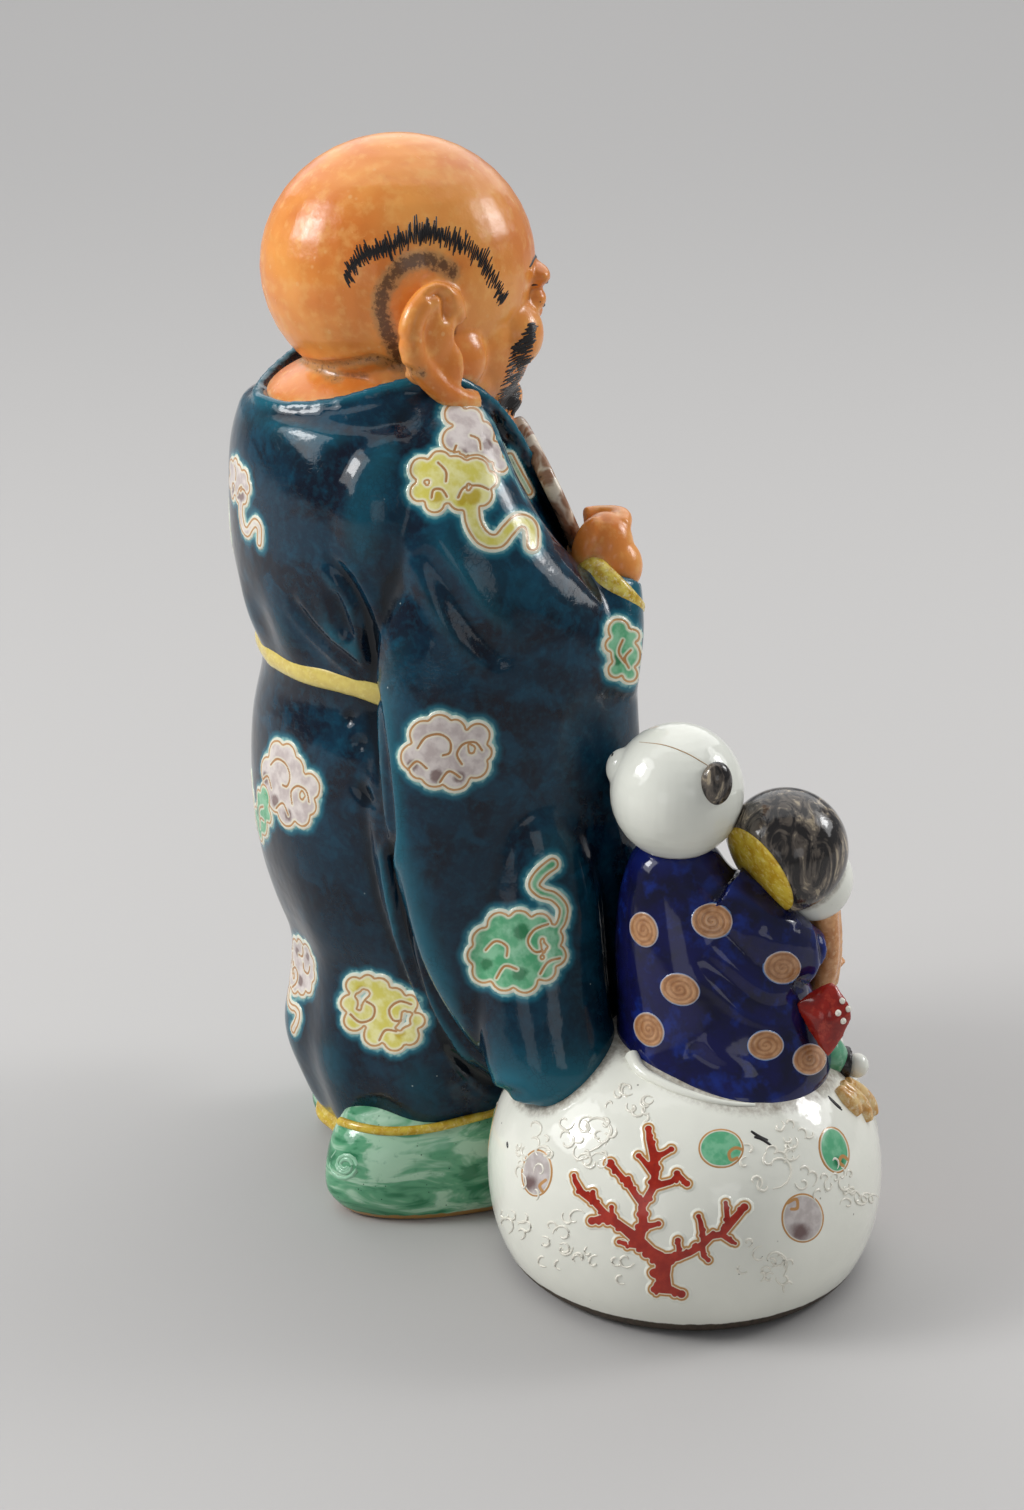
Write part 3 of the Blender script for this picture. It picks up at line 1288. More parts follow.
skinFolds = [(soiled["neckLine"], 1.3, 0.9, 0.3), ([(428, 300), (440, 292), (447, 302), (446, 322)], 1.3, 2.4, 0.3)]
pressFolds(monkSkin, skinFolds)
paintSoil(monkSkin)
paintNearness(monkSkin, [robeBody], 5.0)
paintNearness(rightHand, [cuffLining, fanLeaf], 3.0)
paintNearness(leftHand, [robeBody], 3.0)
paintNearness(sackBag, [robeBody, rightShoe, childCoat, trousers, childShoes], 8.0)
paintNearness(childHead, [childCoat, hairCap], 3.0)
paintNearness(childFace, [hairCap, redBib], 3.0)
print("glazes")


# raised enamel, drawn in the photograph's pixels and laid over the surface behind them


def ovalReach(dots, oval):
    # how far each dot is along an oval's two half axes, 1 at its rim
    x, y, wide, high, tilt = oval
    turn = math.radians(tilt)
    away = dots - (x, y)
    return away @ (math.cos(turn), math.sin(turn)) / wide, away @ (-math.sin(turn), math.cos(turn)) / high


def motifGap(shape, dots):
    # how far each dot lies outside a motif, in pixels, below 0 inside it
    gap = np.full(len(dots), 1e9)
    for x, y, radius in shape.get("lobes", []):
        gap = np.minimum(gap, np.hypot(dots[:, 0] - x, dots[:, 1] - y) - radius)
    for line, start, end in shape.get("tails", []):
        away, along = lineGap(dots, evenRows(line, 5 * len(line)))
        gap = np.minimum(gap, away - start - (end - start) * along)
    for oval in shape.get("ovals", []):
        gap = np.minimum(gap, (np.hypot(*ovalReach(dots, oval)) - 1.0) * min(oval[2:4]))
    if "without" in shape:
        gap = np.maximum(gap, -motifGap(shape["without"], dots))
    return gap


def trueGap(shape, dots, columns, rows, spacing):
    # the same gap measured to the motif's own outline, also deep inside it where lobes overlap
    gap = motifGap(shape, dots)
    row = np.round((dots[:, 1].max() - dots[:, 1]) / spacing[1]).astype(int)
    column = np.round((dots[:, 0] - dots[:, 0].min()) / spacing[0]).astype(int)
    index = np.zeros((rows + 1, columns + 1), int)
    index[row, column] = np.arange(len(dots))
    pairs = [(index[:, :-1].ravel(), index[:, 1:].ravel()), (index[:-1].ravel(), index[1:].ravel())]
    rim = []
    for one, two in pairs:
        crosses = (gap[one] < 0) != (gap[two] < 0)
        one, two = one[crosses], two[crosses]
        share = (gap[one] / (gap[one] - gap[two]))[:, None]
        rim += list(dots[one] * (1 - share) + dots[two] * share)
    tree = nearestOf([(*spot, 0.0) for spot in rim])
    for number in np.flatnonzero(gap < 12.0):
        gap[number] = math.copysign(tree.find((*dots[number], 0.0))[2], gap[number])
    return gap


def curlGap(shape, dots):
    # distance to the lines drawn inside a motif, in pixels
    gap = np.full(len(dots), 1e3)
    for line in shape.get("curls", []):
        gap = np.minimum(gap, lineGap(dots, evenRows(line, 6 * len(line)))[0])
    if "spiral" in shape:
        oval = shape["ovals"][0]
        across, along = ovalReach(dots, oval)
        wave = np.hypot(across, along) * shape["spiral"] - np.arctan2(along, across) / (2 * math.pi)
        gap = np.minimum(gap, np.abs(wave - np.round(wave)) * min(oval[2:4]) / shape["spiral"])
    return gap


def boundsOf(shape, room):
    rounds = list(shape.get("lobes", []))
    for line, start, end in shape.get("tails", []):
        rounds += [(x, y, max(start, end)) for x, y in line]
    rounds += [(x, y, max(wide, high)) for x, y, wide, high, _ in shape.get("ovals", [])]
    rounds = np.array(rounds, float)
    return (rounds[:, :2] - rounds[:, 2:]).min(axis=0) - room, (rounds[:, :2] + rounds[:, 2:]).max(axis=0) + room


def neighbours(grid):
    wide = np.pad(grid, 1)
    return wide[:-2, 1:-1] + wide[2:, 1:-1] + wide[1:-1, :-2] + wide[1:-1, 2:]


def cutAway(piece, unwanted):
    # deletes the marked points and the faces on them
    bpy.ops.object.mode_set(mode="EDIT")
    bpy.ops.mesh.select_mode(type="VERT")
    bpy.ops.mesh.select_all(action="DESELECT")
    bpy.ops.object.mode_set(mode="OBJECT")
    piece.data.vertices.foreach_set("select", unwanted)
    bpy.ops.object.mode_set(mode="EDIT")
    bpy.ops.mesh.delete(type="VERT")
    bpy.ops.object.mode_set(mode="OBJECT")


def enamel(tree, shape, sight=front, spot=None, turn=0.0, size=1.0, step=1.5, rise=0.3, margin=1.15):
    # one patch of thick enamel: spot is where its middle goes on another side, in mm
    low, high = boundsOf(shape, 7.0 / size)
    middle, half = (low + high) / 2, (high - low) / 2
    columns, rows = [max(int(2 * reach * size / step), 4) for reach in half]
    deselect()
    bpy.ops.mesh.primitive_grid_add(x_subdivisions=columns, y_subdivisions=rows, size=2.0)
    patch = bpy.context.object
    raw = pointsOf(patch)[:, :2]
    dots = middle + raw * half * (1.0, -1.0)
    unit = pixelSize * size
    gap = trueGap(shape, dots, columns, rows, (2 * half[0] / columns, 2 * half[1] / rows)) * unit
    places = dots
    if spot:
        angle = math.radians(turn)
        away = (dots - middle) * size
        spun = np.stack([away @ (math.cos(angle), -math.sin(angle)), away @ (math.sin(angle), math.cos(angle))], 1)
        places = np.array(sight.pixel(Vector(spot) * mm)) + spun
    rays = [sight.ray(x, y) for x, y in places]
    depth = np.full(len(dots), np.nan)
    for index in np.flatnonzero(gap < margin + 1.2):
        hit = tree.ray_cast(sight.eye, rays[index])
        depth[index] = hit[3] if hit[0] else np.nan
    depth[np.abs(depth - np.nanmedian(depth)) > 0.045] = np.nan
    row = np.round((raw[:, 1] + 1) / 2 * rows).astype(int)
    column = np.round((raw[:, 0] + 1) / 2 * columns).astype(int)
    grid = np.full((rows + 1, columns + 1), np.nan)
    grid[row, column] = depth
    known = np.isfinite(grid).astype(float)
    grid = np.nan_to_num(grid)
    for _ in range(14):
        mean = neighbours(grid * known) / np.maximum(neighbours(known), 1e-9)
        grid = np.where((known > 0) & (neighbours(known) > 0), 0.4 * grid + 0.6 * mean, grid)
    depth = grid[row, column]
    found = known[row, column] > 0
    movePoints(patch, np.array([sight.eye + ray * float(far) for ray, far in zip(rays, depth)]))
    paintValue(patch, "edge", gap)
    paintValue(patch, "line", curlGap(shape, dots) * unit)
    blot = np.zeros(len(dots))
    for x, y, radius in shape.get("spots", []):
        blot = np.maximum(blot, 1.0 - np.hypot(dots[:, 0] - x, dots[:, 1] - y) / radius)
    paintValue(patch, "blot", blot)
    cutAway(patch, ~found | (gap > margin))
    edge = readValue(patch, "edge")
    fall = np.clip((edge - margin + 1.2) / 1.15, 0.0, 1.0)
    fall = fall**2 * (3 - 2 * fall)
    lift = rise - (rise + 0.07) * fall
    movePoints(patch, pointsOf(patch) + pointsOf(patch, "normal") * (lift * mm)[:, None])
    finish(patch, "SOLIDIFY", thickness=0.45 * mm, offset=-1.0)
    bpy.ops.object.shade_smooth()
    return patch


clouds = {
    "lavender": {
        "lobes": [
            (415, 757, 15), (425, 735, 16), (440, 727, 14), (455, 730, 12), (478, 735, 13), (483, 752, 10),
            (475, 765, 14), (455, 775, 16), (435, 772, 16), (420, 768, 12), (445, 750, 25),
        ],
        "curls": [
            [(418, 748), (426, 737), (440, 734), (450, 741), (450, 752), (443, 755)],
            [(462, 764), (457, 754), (463, 744), (475, 742), (482, 750)],
            [(408, 770), (417, 761), (427, 768)], [(440, 782), (449, 771), (460, 777)],
        ],
        "spots": [(413, 765, 9), (437, 776, 10), (459, 777, 9)],
    },
    "green": {
        "lobes": [
            (485, 940, 14), (500, 925, 14), (520, 922, 13), (540, 925, 13), (553, 938, 11), (555, 955, 12),
            (545, 970, 12), (525, 980, 14), (505, 978, 14), (485, 970, 14), (478, 955, 12), (515, 950, 28),
        ],
        "tails": [
            ([(552, 934), (561, 922), (563, 908), (554, 897), (540, 892), (534, 884), (541, 873), (552, 864)], 5, 7),
        ],
        "curls": [
            [(548, 924), (534, 930), (528, 942), (536, 952), (547, 948)],
            [(560, 958), (548, 962), (540, 974)],
            [(486, 950), (496, 941), (507, 946), (507, 956)], [(497, 978), (505, 966), (517, 969)],
        ],
        "spots": [(487, 964, 9), (522, 932, 12), (520, 973, 11)],
    },
    "yellow": {
        "lobes": [
            (355, 985, 10), (368, 982, 9), (380, 988, 12), (395, 998, 12), (410, 1003, 10), (418, 1020, 9),
            (410, 1035, 11), (395, 1040, 12), (375, 1035, 12), (355, 1020, 12), (350, 1003, 10), (382, 1012, 22),
        ],
        "curls": [
            [(351, 1014), (361, 1022), (373, 1018), (375, 1007), (367, 1001)],
            [(412, 1004), (400, 1001), (390, 1009), (394, 1020), (404, 1020)], [(380, 1040), (386, 1030), (397, 1031)],
        ],
        "spots": [(362, 990, 8), (400, 1032, 9)],
    },
    "sleeveGreen": {
        "lobes": [
            (618, 630, 12), (625, 655, 16), (612, 645, 9), (615, 670, 9), (629, 674, 9), (632, 636, 8),
        ],
        "curls": [[(622, 640), (618, 652), (624, 662)], [(628, 668), (624, 658), (630, 650)]],
        "spots": [(616, 660, 8)],
    },
    "shoulderLavender": {
        "lobes": [
            (455, 415, 12), (470, 420, 13), (480, 435, 15), (492, 452, 12), (500, 465, 9), (475, 455, 16),
            (455, 440, 14), (465, 465, 12),
        ],
        "curls": [[(456, 446), (454, 454), (460, 460), (468, 456)], [(470, 436), (478, 440), (480, 450)]],
        "spots": [(463, 455, 8), (487, 445, 8)],
        "without": {"lobes": [(422, 470, 13), (440, 462, 12), (455, 470, 15), (475, 472, 15), (488, 480, 10)]},
    },
    "shoulderYellow": {
        "lobes": [
            (422, 470, 13), (440, 462, 12), (455, 470, 15), (475, 472, 15), (488, 480, 10), (480, 495, 13),
            (460, 500, 12), (435, 503, 11), (420, 492, 11), (448, 485, 20),
        ],
        "tails": [
            ([(471, 508), (474, 525), (484, 539), (498, 541), (508, 530), (518, 521), (530, 526), (532, 545)], 9, 7),
        ],
        "curls": [
            [(438, 463), (446, 472), (446, 482)],
            [(432, 498), (434, 490), (442, 490), (447, 497)],
            [(458, 498), (464, 488), (478, 486), (488, 490)],
        ],
        "spots": [(437, 497, 10), (472, 497, 13), (462, 500, 8)],
    },
    "shoulderGreen": {"tails": [([(509, 457), (518, 474), (528, 492)], 5, 5)], "spots": [(512, 462, 6)]},
}  # fmt: skip

# colour, shape, and for what goes on another side: azimuth, rise, place (a pixel or a point in mm), turn, size
cloudPlaces = [
    ("lavender", "lavender"), ("green", "green"), ("yellow", "yellow"), ("green", "sleeveGreen"),
    ("lavender", "shoulderLavender"), ("yellow", "shoulderYellow"), ("green", "shoulderGreen"),
    ("lavender", "lavender", -150, 20, (286, 784), 20, 1.1), ("green", "sleeveGreen", -165, 20, (262, 812), 50, 1.2),
    ("lavender", "green", -150, 20, (303, 985), 165, 0.72),
    ("lavender", "shoulderYellow", -150, 20, (243, 500), 10, 0.75),
    ("lavender", "lavender", 100, 5, (68, -6, 140), 15, 1.0), ("green", "green", 95, 5, (72, -8, 78), -10, 1.0),
    ("yellow", "shoulderYellow", 80, 25, (44, 4, 216), 20, 0.85), ("yellow", "yellow", 140, 5, (36, 30, 56), 10, 1.0),
    ("lavender", "lavender", 165, 5, (22, 50, 112), -20, 0.95), ("green", "green", 160, 10, (30, 44, 186), 200, 0.9),
    ("lavender", "lavender", 30, 5, (26, -38, 52), 60, 0.9), ("green", "sleeveGreen", 20, 10, (60, -40, 110), 40, 1.2),
    ("yellow", "yellow", -15, 5, (-14, -42, 62), -30, 0.9), ("lavender", "lavender", 130, 10, (52, 20, 190), 60, 0.7),
    ("green", "green", 40, 10, (50, -32, 170), 30, 0.8),
]  # fmt: skip


def makeClouds():
    tree = treeOf(robeBody)
    byColour = {"lavender": [], "green": [], "yellow": []}
    for colour, name, *rest in cloudPlaces:
        if rest:
            azimuth, rise, place, turn, size = rest
            if len(place) == 2:  # what the photograph's left edge shows foreshortened
                place = front.touch(tree, *place) / mm
            patch = enamel(tree, clouds[name], Lookout(azimuth, rise), place, turn, size, step=1.8)
        else:
            patch = enamel(tree, clouds[name])
        byColour[colour].append(patch)
    return [joined(f"{colour}Clouds", group) for colour, group in byColour.items()]


cloudGroups = makeClouds()


def paintHalo(piece, patches, reach):
    # 1 at the rim of the enamel, 0 from reach mm on
    spots = []
    for patch in patches:
        edge = readValue(patch, "edge")
        spots += list(pointsOf(patch)[(edge > 0.1) & (edge < 0.9)][::3])
    paintGaps(piece, "halo", spots, reach)


paintHalo(robeBody, cloudGroups, 2.8)
print("clouds", sum(len(group.data.polygons) for group in cloudGroups))


coatDots = {
    "ovals": [  # x, y, half width, half height, tilt
        (643.9, 929.6, 13.2, 17.3, -20), (712, 921, 20, 17, 8), (782.3, 967.4, 18, 15.7, 0),
        (680, 989.4, 19.5, 15, 20), (649, 1029.6, 13.5, 17.5, -30), (765.6, 1045.3, 17.3, 14.2, 0),
        (809.6, 1059.5, 16.4, 15, -15),
    ],
    "hidden": [(170, 10, (12, 20, 84)), (140, 10, (20, 8, 98)), (100, 10, (22, -6, 90)), (-10, 10, (6, -28, 68))],
    "hiddenOval": (0, 0, 17, 15, 0),
    "spiral": 3.2,  # turns
    "rise": 0.2,
    "margin": 0.75,
}  # fmt: skip


def makeDots():
    tree = treeOf(childCoat)
    dots = []
    form = {"rise": coatDots["rise"], "margin": coatDots["margin"]}
    for oval in coatDots["ovals"]:
        dots.append(enamel(tree, {"ovals": [oval], "spiral": coatDots["spiral"]}, step=1.3, **form))
    shape = {"ovals": [coatDots["hiddenOval"]], "spiral": coatDots["spiral"]}
    for azimuth, rise, place in coatDots["hidden"]:
        dots.append(enamel(tree, shape, Lookout(azimuth, rise), onSack(*place), step=1.6, **form))
    return joined("coatDots", dots)


dotPatches = makeDots()
paintHalo(childCoat, [dotPatches], 2.0)

roundels = {
    "lavender": [
        {
            "ovals": [(537, 1173, 16, 24, 4)],
            "spots": [(530, 1183, 12)],
            "curls": [[(545, 1194), (540, 1186), (546, 1180)]],
        },
        {
            "ovals": [(802.5, 1218, 21.6, 25, 0)],
            "spots": [(800, 1232, 15)],
            "curls": [[(787, 1203), (796, 1199), (797, 1208), (791, 1209)]],
        },
    ],
    "green": [
        {
            "ovals": [(721, 1148.5, 23, 20, 0)],
            "curls": [[(743, 1150), (735, 1148), (729, 1153), (731, 1160), (737, 1158)]],
        },
        {
            "ovals": [(834, 1150, 15.5, 24, -12)],
            "spots": [(838, 1162, 9)],
            "curls": [[(848, 1160), (842, 1156), (839, 1162), (843, 1166)]],
        },
    ],
}
hiddenRoundels = [
    ("green", 10, (30, -44, 34)), ("lavender", 0, (-14, -54, 20)), ("lavender", 20, (34, -40, 14)),
    ("green", 150, (24, 46, 34)), ("lavender", 140, (32, 42, 14)),
]  # fmt: skip

coralDrawing = {
    "size": 1 / 3.333,  # it was drawn this much larger, from this corner
    "corner": (480, 1060),
    "seed": 7,
    "knobStep": 7.0,
    "margin": 1.9,
    "hidden": (20, 20, (0, -50, 30), 15, 0.8),  # a second one round the front: azimuth, rise, place, turn, size
    "branches": [
        [(616, 752, 24), (608, 715, 28), (612, 680, 28), (600, 660, 25), (570, 640, 20), (530, 600, 20),
         (545, 540, 16), (540, 490, 14), (575, 430, 13), (585, 380, 14), (580, 320, 16), (565, 260, 12),
         (562, 230, 9)],
        [(580, 762, 12), (640, 765, 14), (672, 778, 11)],
        [(585, 420, 13), (640, 405, 10), (660, 385, 11), (690, 412, 9)],
        [(655, 405, 8), (657, 378, 9)],
        [(583, 325, 13), (615, 312, 9), (638, 298, 8)],
        [(575, 375, 11), (545, 335, 9), (530, 320, 8)],
        [(535, 470, 12), (500, 420, 11), (460, 375, 10), (435, 345, 12)],
        [(505, 415, 8), (495, 395, 7)],
        [(530, 600, 20), (480, 560, 16), (430, 525, 16), (375, 535, 11)],
        [(430, 525, 13), (385, 475, 12), (340, 440, 12), (318, 400, 9), (315, 385, 6)],
        [(385, 470, 8), (378, 440, 7)],
        [(440, 520, 9), (440, 490, 7)],
        [(545, 555, 14), (575, 550, 10), (595, 545, 8)],
        [(535, 615, 14), (500, 615, 10), (465, 605, 7)],
        [(612, 660, 18), (660, 655, 14), (700, 640, 12), (740, 615, 13), (770, 585, 12), (805, 580, 12),
         (845, 530, 14),
         (880, 490, 11)],
        [(665, 650, 10), (660, 600, 8)],
        [(745, 600, 11), (735, 540, 9), (728, 520, 7)],
        [(740, 615, 11), (745, 650, 10), (760, 665, 7)],
        [(825, 545, 10), (820, 490, 9), (818, 475, 6)],
        [(805, 580, 11), (840, 605, 9), (850, 610, 5)],
    ],
}  # fmt: skip


def coralShape():
    # each branch tapers, with knobs along it and a round tip
    tails, ovals = [], []
    chance = random.Random(coralDrawing["seed"])
    size, (left, top) = coralDrawing["size"], coralDrawing["corner"]
    for branch in coralDrawing["branches"]:
        spots = [(left + x * size, top + y * size, thick * size) for x, y, thick in branch]
        for (x, y, thick), (nextX, nextY, nextThick) in zip(spots, spots[1:]):
            tails.append(([(x, y), (nextX, nextY)], thick * 0.92, nextThick * 0.92))
            span = math.hypot(nextX - x, nextY - y)
            for _ in range(int(span / coralDrawing["knobStep"])):
                share, side = chance.random(), chance.choice((-1, 1))
                knob = (thick + (nextThick - thick) * share) * chance.uniform(0.5, 0.8)
                reach = side * (thick + (nextThick - thick) * share) * 0.8 / span
                middle = x + (nextX - x) * share - (nextY - y) * reach, y + (nextY - y) * share + (nextX - x) * reach
                ovals.append((*middle, knob, knob * chance.uniform(0.7, 1.0), chance.uniform(0, 180)))
        x, y, thick = spots[-1]
        ovals.append((x, y, thick * 1.3, thick * 1.2, 0))
    return {"tails": tails, "ovals": ovals}


def makeSackPaint():
    tree = treeOf(sackBag)
    shape, margin = coralShape(), coralDrawing["margin"]
    coral = [enamel(tree, shape, step=1.2, rise=0.28, margin=margin)]
    azimuth, rise, place, turn, size = coralDrawing["hidden"]
    sight = Lookout(azimuth, rise)
    coral.append(enamel(tree, shape, sight, onSack(*place), turn, size, step=1.6, rise=0.25, margin=margin))
    rounds = {}
    for colour, shapes in roundels.items():
        rounds[colour] = [enamel(tree, shape, step=1.2, rise=0.14, margin=0.5) for shape in shapes]
    for colour, azimuth, place in hiddenRoundels:
        shape = roundels[colour][1]
        sight = Lookout(azimuth, 15)
        rounds[colour].append(enamel(tree, shape, sight, onSack(*place), step=1.6, rise=0.14, margin=0.5))
    return joined("coral", coral), joined("lavenderRounds", rounds["lavender"]), joined("greenRounds", rounds["green"])


coral, lavenderRounds, greenRounds = makeSackPaint()
print("sack paint", len(coral.data.polygons))


# fine strokes: hair, beard, brows, slip scrolls


def brush(name, lines, thick, steps=7, sides=1, sink=0.35):
    # tapered strokes, each a run of (place, normal) pairs in metres
    paths = []
    for line in lines:
        if len(line) < 2:
            continue
        path = []
        for index, (place, normal) in enumerate(line):
            share = (index + 0.5) / len(line)
            width = thick * (0.3 + 0.7 * math.sin(math.pi * share) ** 0.7)
            path.append(((place - normal * (sink * width * mm)) / mm, width))
        paths.append(path)
    piece = roll(name, paths, steps, sides)
    polish(piece)
    return piece


def traced(tree, pixels, sight=front):
    # where a line of pixels falls on a piece
    line = []
    for x, y in pixels:
        place, normal, *_ = tree.ray_cast(sight.eye, sight.ray(x, y))
        if place and (not line or (place - line[-1][0]).length < 0.02):
            line.append((place, normal))
    return line


def dab(tree, spot, aim, parts, sight=front):
    # one straight stroke through a pixel
    return traced(tree, [np.array(spot) + aim * part for part in parts], sight)


def acrossLine(tree, line):
    # the same stroke on the other side of the monk
    other = []
    for place, _ in line:
        spot, normal, *_ = tree.find_nearest(Vector((-place.x, place.y, place.z)))
        other.append((spot, normal))
    return other


hair = {
    "fringe": [
        (346, 280), (352, 268), (362, 257), (373, 251), (386, 249), (401, 242), (418, 233), (434, 233), (450, 240),
        (465, 247), (479, 257), (489, 271), (498, 290), (503, 302),
    ],
    "count": 118,
    "length": 19.0,
    "towards": (425, 430),
    "thickness": 0.3,
    "seed": 11,
}  # fmt: skip

beard = {
    "jaw": [(531, 322), (524, 335), (516, 343), (512, 354), (507, 366), (504, 380), (503, 394), (502, 404)],
    "chin": [(533, 328), (531, 345), (529, 362), (526, 378), (521, 392), (512, 404), (505, 410)],
    "count": 300,
    "length": 10.0,
    "seed": 23,
}


ahead = Lookout(0.0, 0.0)  # straight in front of the monk

chinBeard = {  # what the chin hides from the photograph's side, brushed from in front
    "count": 220,
    "spread": 1.35,
    "middle": 236.0,
    "radii": (21.0, 13.0),
    "length": 7.0,
}

calmFace = {  # brows, closed eyes and a faint smile, drawn from in front in mm
    "browHairs": 26,
    "brow": (5.5, 14.0, 264.0, 3.0),  # from the middle, how far out, how high, how arched
    "browLength": 5.5,
    "lid": (7.0, 11.5),
    "lids": [(255.6, 2.2), (259.8, -1.6)],  # the lid's edge, and a fainter fold over it: height and sag
    "smile": (9, 236.6, 0.018),
    "thickness": 0.5,
}


def brushFringe(tree):
    chance = random.Random(hair["seed"])
    line = evenRows(hair["fringe"], hair["count"])
    lines = []
    for index, spot in enumerate(line):
        share = index / (len(line) - 1)
        full = math.sin(math.pi * min(max(share, 0.04), 0.96)) ** 0.6
        aim = np.array(hair["towards"]) - spot
        aim = aim / np.linalg.norm(aim)
        lean = chance.uniform(-0.16, 0.16)
        aim = np.array((aim[0] - lean * aim[1], aim[1] + lean * aim[0]))
        half = hair["length"] * (0.4 + 0.6 * full) * chance.uniform(0.35, 0.8)
        start = spot + chance.uniform(-4.0, 4.0) * aim
        stroke = dab(tree, start, aim * half, (-1.0, -0.4, 0.2, 0.8))
        lines += [stroke, acrossLine(tree, stroke)]
    return lines


def brushBeard(tree):
    chance = random.Random(beard["seed"])
    jaw, chin = evenRows(beard["jaw"], beard["count"]), evenRows(beard["chin"], beard["count"])
    lines = []
    for index in range(beard["count"]):
        share = chance.random() ** 0.8
        spot = jaw[index] * (1 - share) + chin[index] * share
        aim = np.array((-0.9, 0.25 + 0.3 * index / beard["count"]))
        half = beard["length"] * chance.uniform(0.3, 0.6)
        stroke = dab(tree, spot, aim * half, (-1.0, 0.0, 1.0))
        lines += [stroke, acrossLine(tree, stroke)]
    wide, high = chinBeard["radii"]
    for _ in range(chinBeard["count"]):
        angle = chance.uniform(-1.0, 1.0) * chinBeard["spread"]
        reach = chance.uniform(0.86, 1.06)
        across, up = wide * math.sin(angle) * reach, chinBeard["middle"] - high * math.cos(angle) * reach
        aim = np.array((math.sin(angle), math.cos(angle))) * chinBeard["length"]
        lines.append(dab(tree, ahead.facePixel(across, up), aim, (-0.6, 0.0, 0.6), ahead))
    return lines


def drawFace(tree):
    lines = []
    near, span, level, arch = calmFace["brow"]
    for side in (-1, 1):
        for step in range(calmFace["browHairs"]):
            share = step / (calmFace["browHairs"] - 1)
            spot = ahead.facePixel(side * (near + span * share), level + arch * math.sin(share * 2.6))
            aim = np.array((side * 0.85, -0.5 + 0.9 * share)) * calmFace["browLength"]
            lines.append(dab(tree, spot, aim, (-1, 0, 1), ahead))
    near, span = calmFace["lid"]
    for side in (-1, 1):
        for level, sag in calmFace["lids"]:
            shares = [step / 8 for step in range(9)]
            row = [(side * (near + span * share), level - sag * math.sin(math.pi * share)) for share in shares]
            lines.append(traced(tree, [ahead.facePixel(*spot) for spot in row], ahead))
    half, level, curve = calmFace["smile"]
    row = [ahead.facePixel(x, level + curve * x * x) for x in range(-half, half + 1)]
    return lines + [traced(tree, row, ahead)]


def makeHair():
    tree = treeOf(monkSkin)
    lines = brushFringe(tree) + brushBeard(tree)
    strokes = brush("hairStrokes", [line for line in lines if line], hair["thickness"])
    faceLines = [line for line in drawFace(tree) if line]
    return strokes, brush("browStrokes", faceLines, calmFace["thickness"], steps=12)


hairStrokes, browStrokes = makeHair()

scrolls = {
    "clusters": [  # x, y, spread, how many
        (630, 1100, 26, 10), (552, 1137, 24, 9), (594, 1128, 18, 7), (590, 1158, 14, 6), (775, 1168, 30, 11),
        (800, 1140, 22, 7), (762, 1262, 30, 11), (560, 1240, 32, 11), (525, 1225, 20, 6), (860, 1195, 14, 8),
        (610, 1262, 24, 6),
    ],
    "hidden": [
        (0, (-10, -40, 40)), (-40, (-48, -16, 38)), (30, (30, -42, 34)), (-175, (-8, 50, 36)), (10, (10, -50, 14)),
        (150, (36, 40, 30)),
    ],
    "drawn": [(594, 1130, 19, 2.2, 0.8, 1), (776, 1168, 21, 3.6, 0.7, 1), (772, 1262, 18, 3.4, 0.6, 1)],
    "tail": [(606, 1120), (612, 1132), (600, 1146), (588, 1152)],
    "thickness": 0.4,
    "seed": 5,
}  # fmt: skip


def curlicue(x, y, size, start, turns, hand):
    # a hooked curl with a short tail, as slip is trailed from a bulb
    row = []
    for step in range(12):
        share = step / 11
        angle = start + hand * turns * 2 * math.pi * share
        reach = size * (0.25 + 0.75 * share)
        row.append((x + math.cos(angle) * reach, y + math.sin(angle) * reach))
    return row


def makeScrolls():
    chance = random.Random(scrolls["seed"])
    tree = treeOf(sackBag)
    lines = []

    def cluster(x, y, spread, count, sight):
        for _ in range(count):
            at = (chance.uniform(-1, 1) * spread, chance.uniform(-0.8, 0.8) * spread)
            size, turns = chance.uniform(5.0, 11.0), chance.uniform(0.45, 0.95)
            row = curlicue(x + at[0], y + at[1], size, chance.uniform(0, 6.3), turns, chance.choice((-1, 1)))
            lines.append(traced(tree, row, sight))

    for x, y, spread, count in scrolls["clusters"]:
        cluster(x, y, spread, count, front)
    lines += [traced(tree, curlicue(*drawn)) for drawn in scrolls["drawn"]]
    lines.append(traced(tree, scrolls["tail"]))
    for azimuth, place in scrolls["hidden"]:
        sight = Lookout(azimuth, 15)
        x, y = sight.pixel(onSack(*place) * mm)
        cluster(x, y, 30, 9, sight)
    return brush("sackScrolls", [line for line in lines if line], scrolls["thickness"], steps=12, sink=0.1)


sackScrolls = makeScrolls()
print("strokes", len(hairStrokes.data.polygons), len(sackScrolls.data.polygons))


marks = {
    "chips": [
        [(751, 1131), (760, 1137), (768, 1140)], [(754, 1137), (762, 1139), (772, 1146)],
        [(828, 1096), (834, 1102), (841, 1108)], [(829, 1098), (836, 1105), (842, 1110)], [(507, 1142), (508, 1148)],
    ],
    "headLine": [(639, 742), (664, 745), (686, 753), (702, 762), (712, 768)],
    "earLine": [(612, 756), (615, 749), (622, 745)],
    "heel": [(345, 1165), 17, 0.4, 1.6],
    "petals": [(838, 1013), (842, 1001), (848, 1009), (843, 1021)],
    "petalRadius": 0.9,
}  # fmt: skip


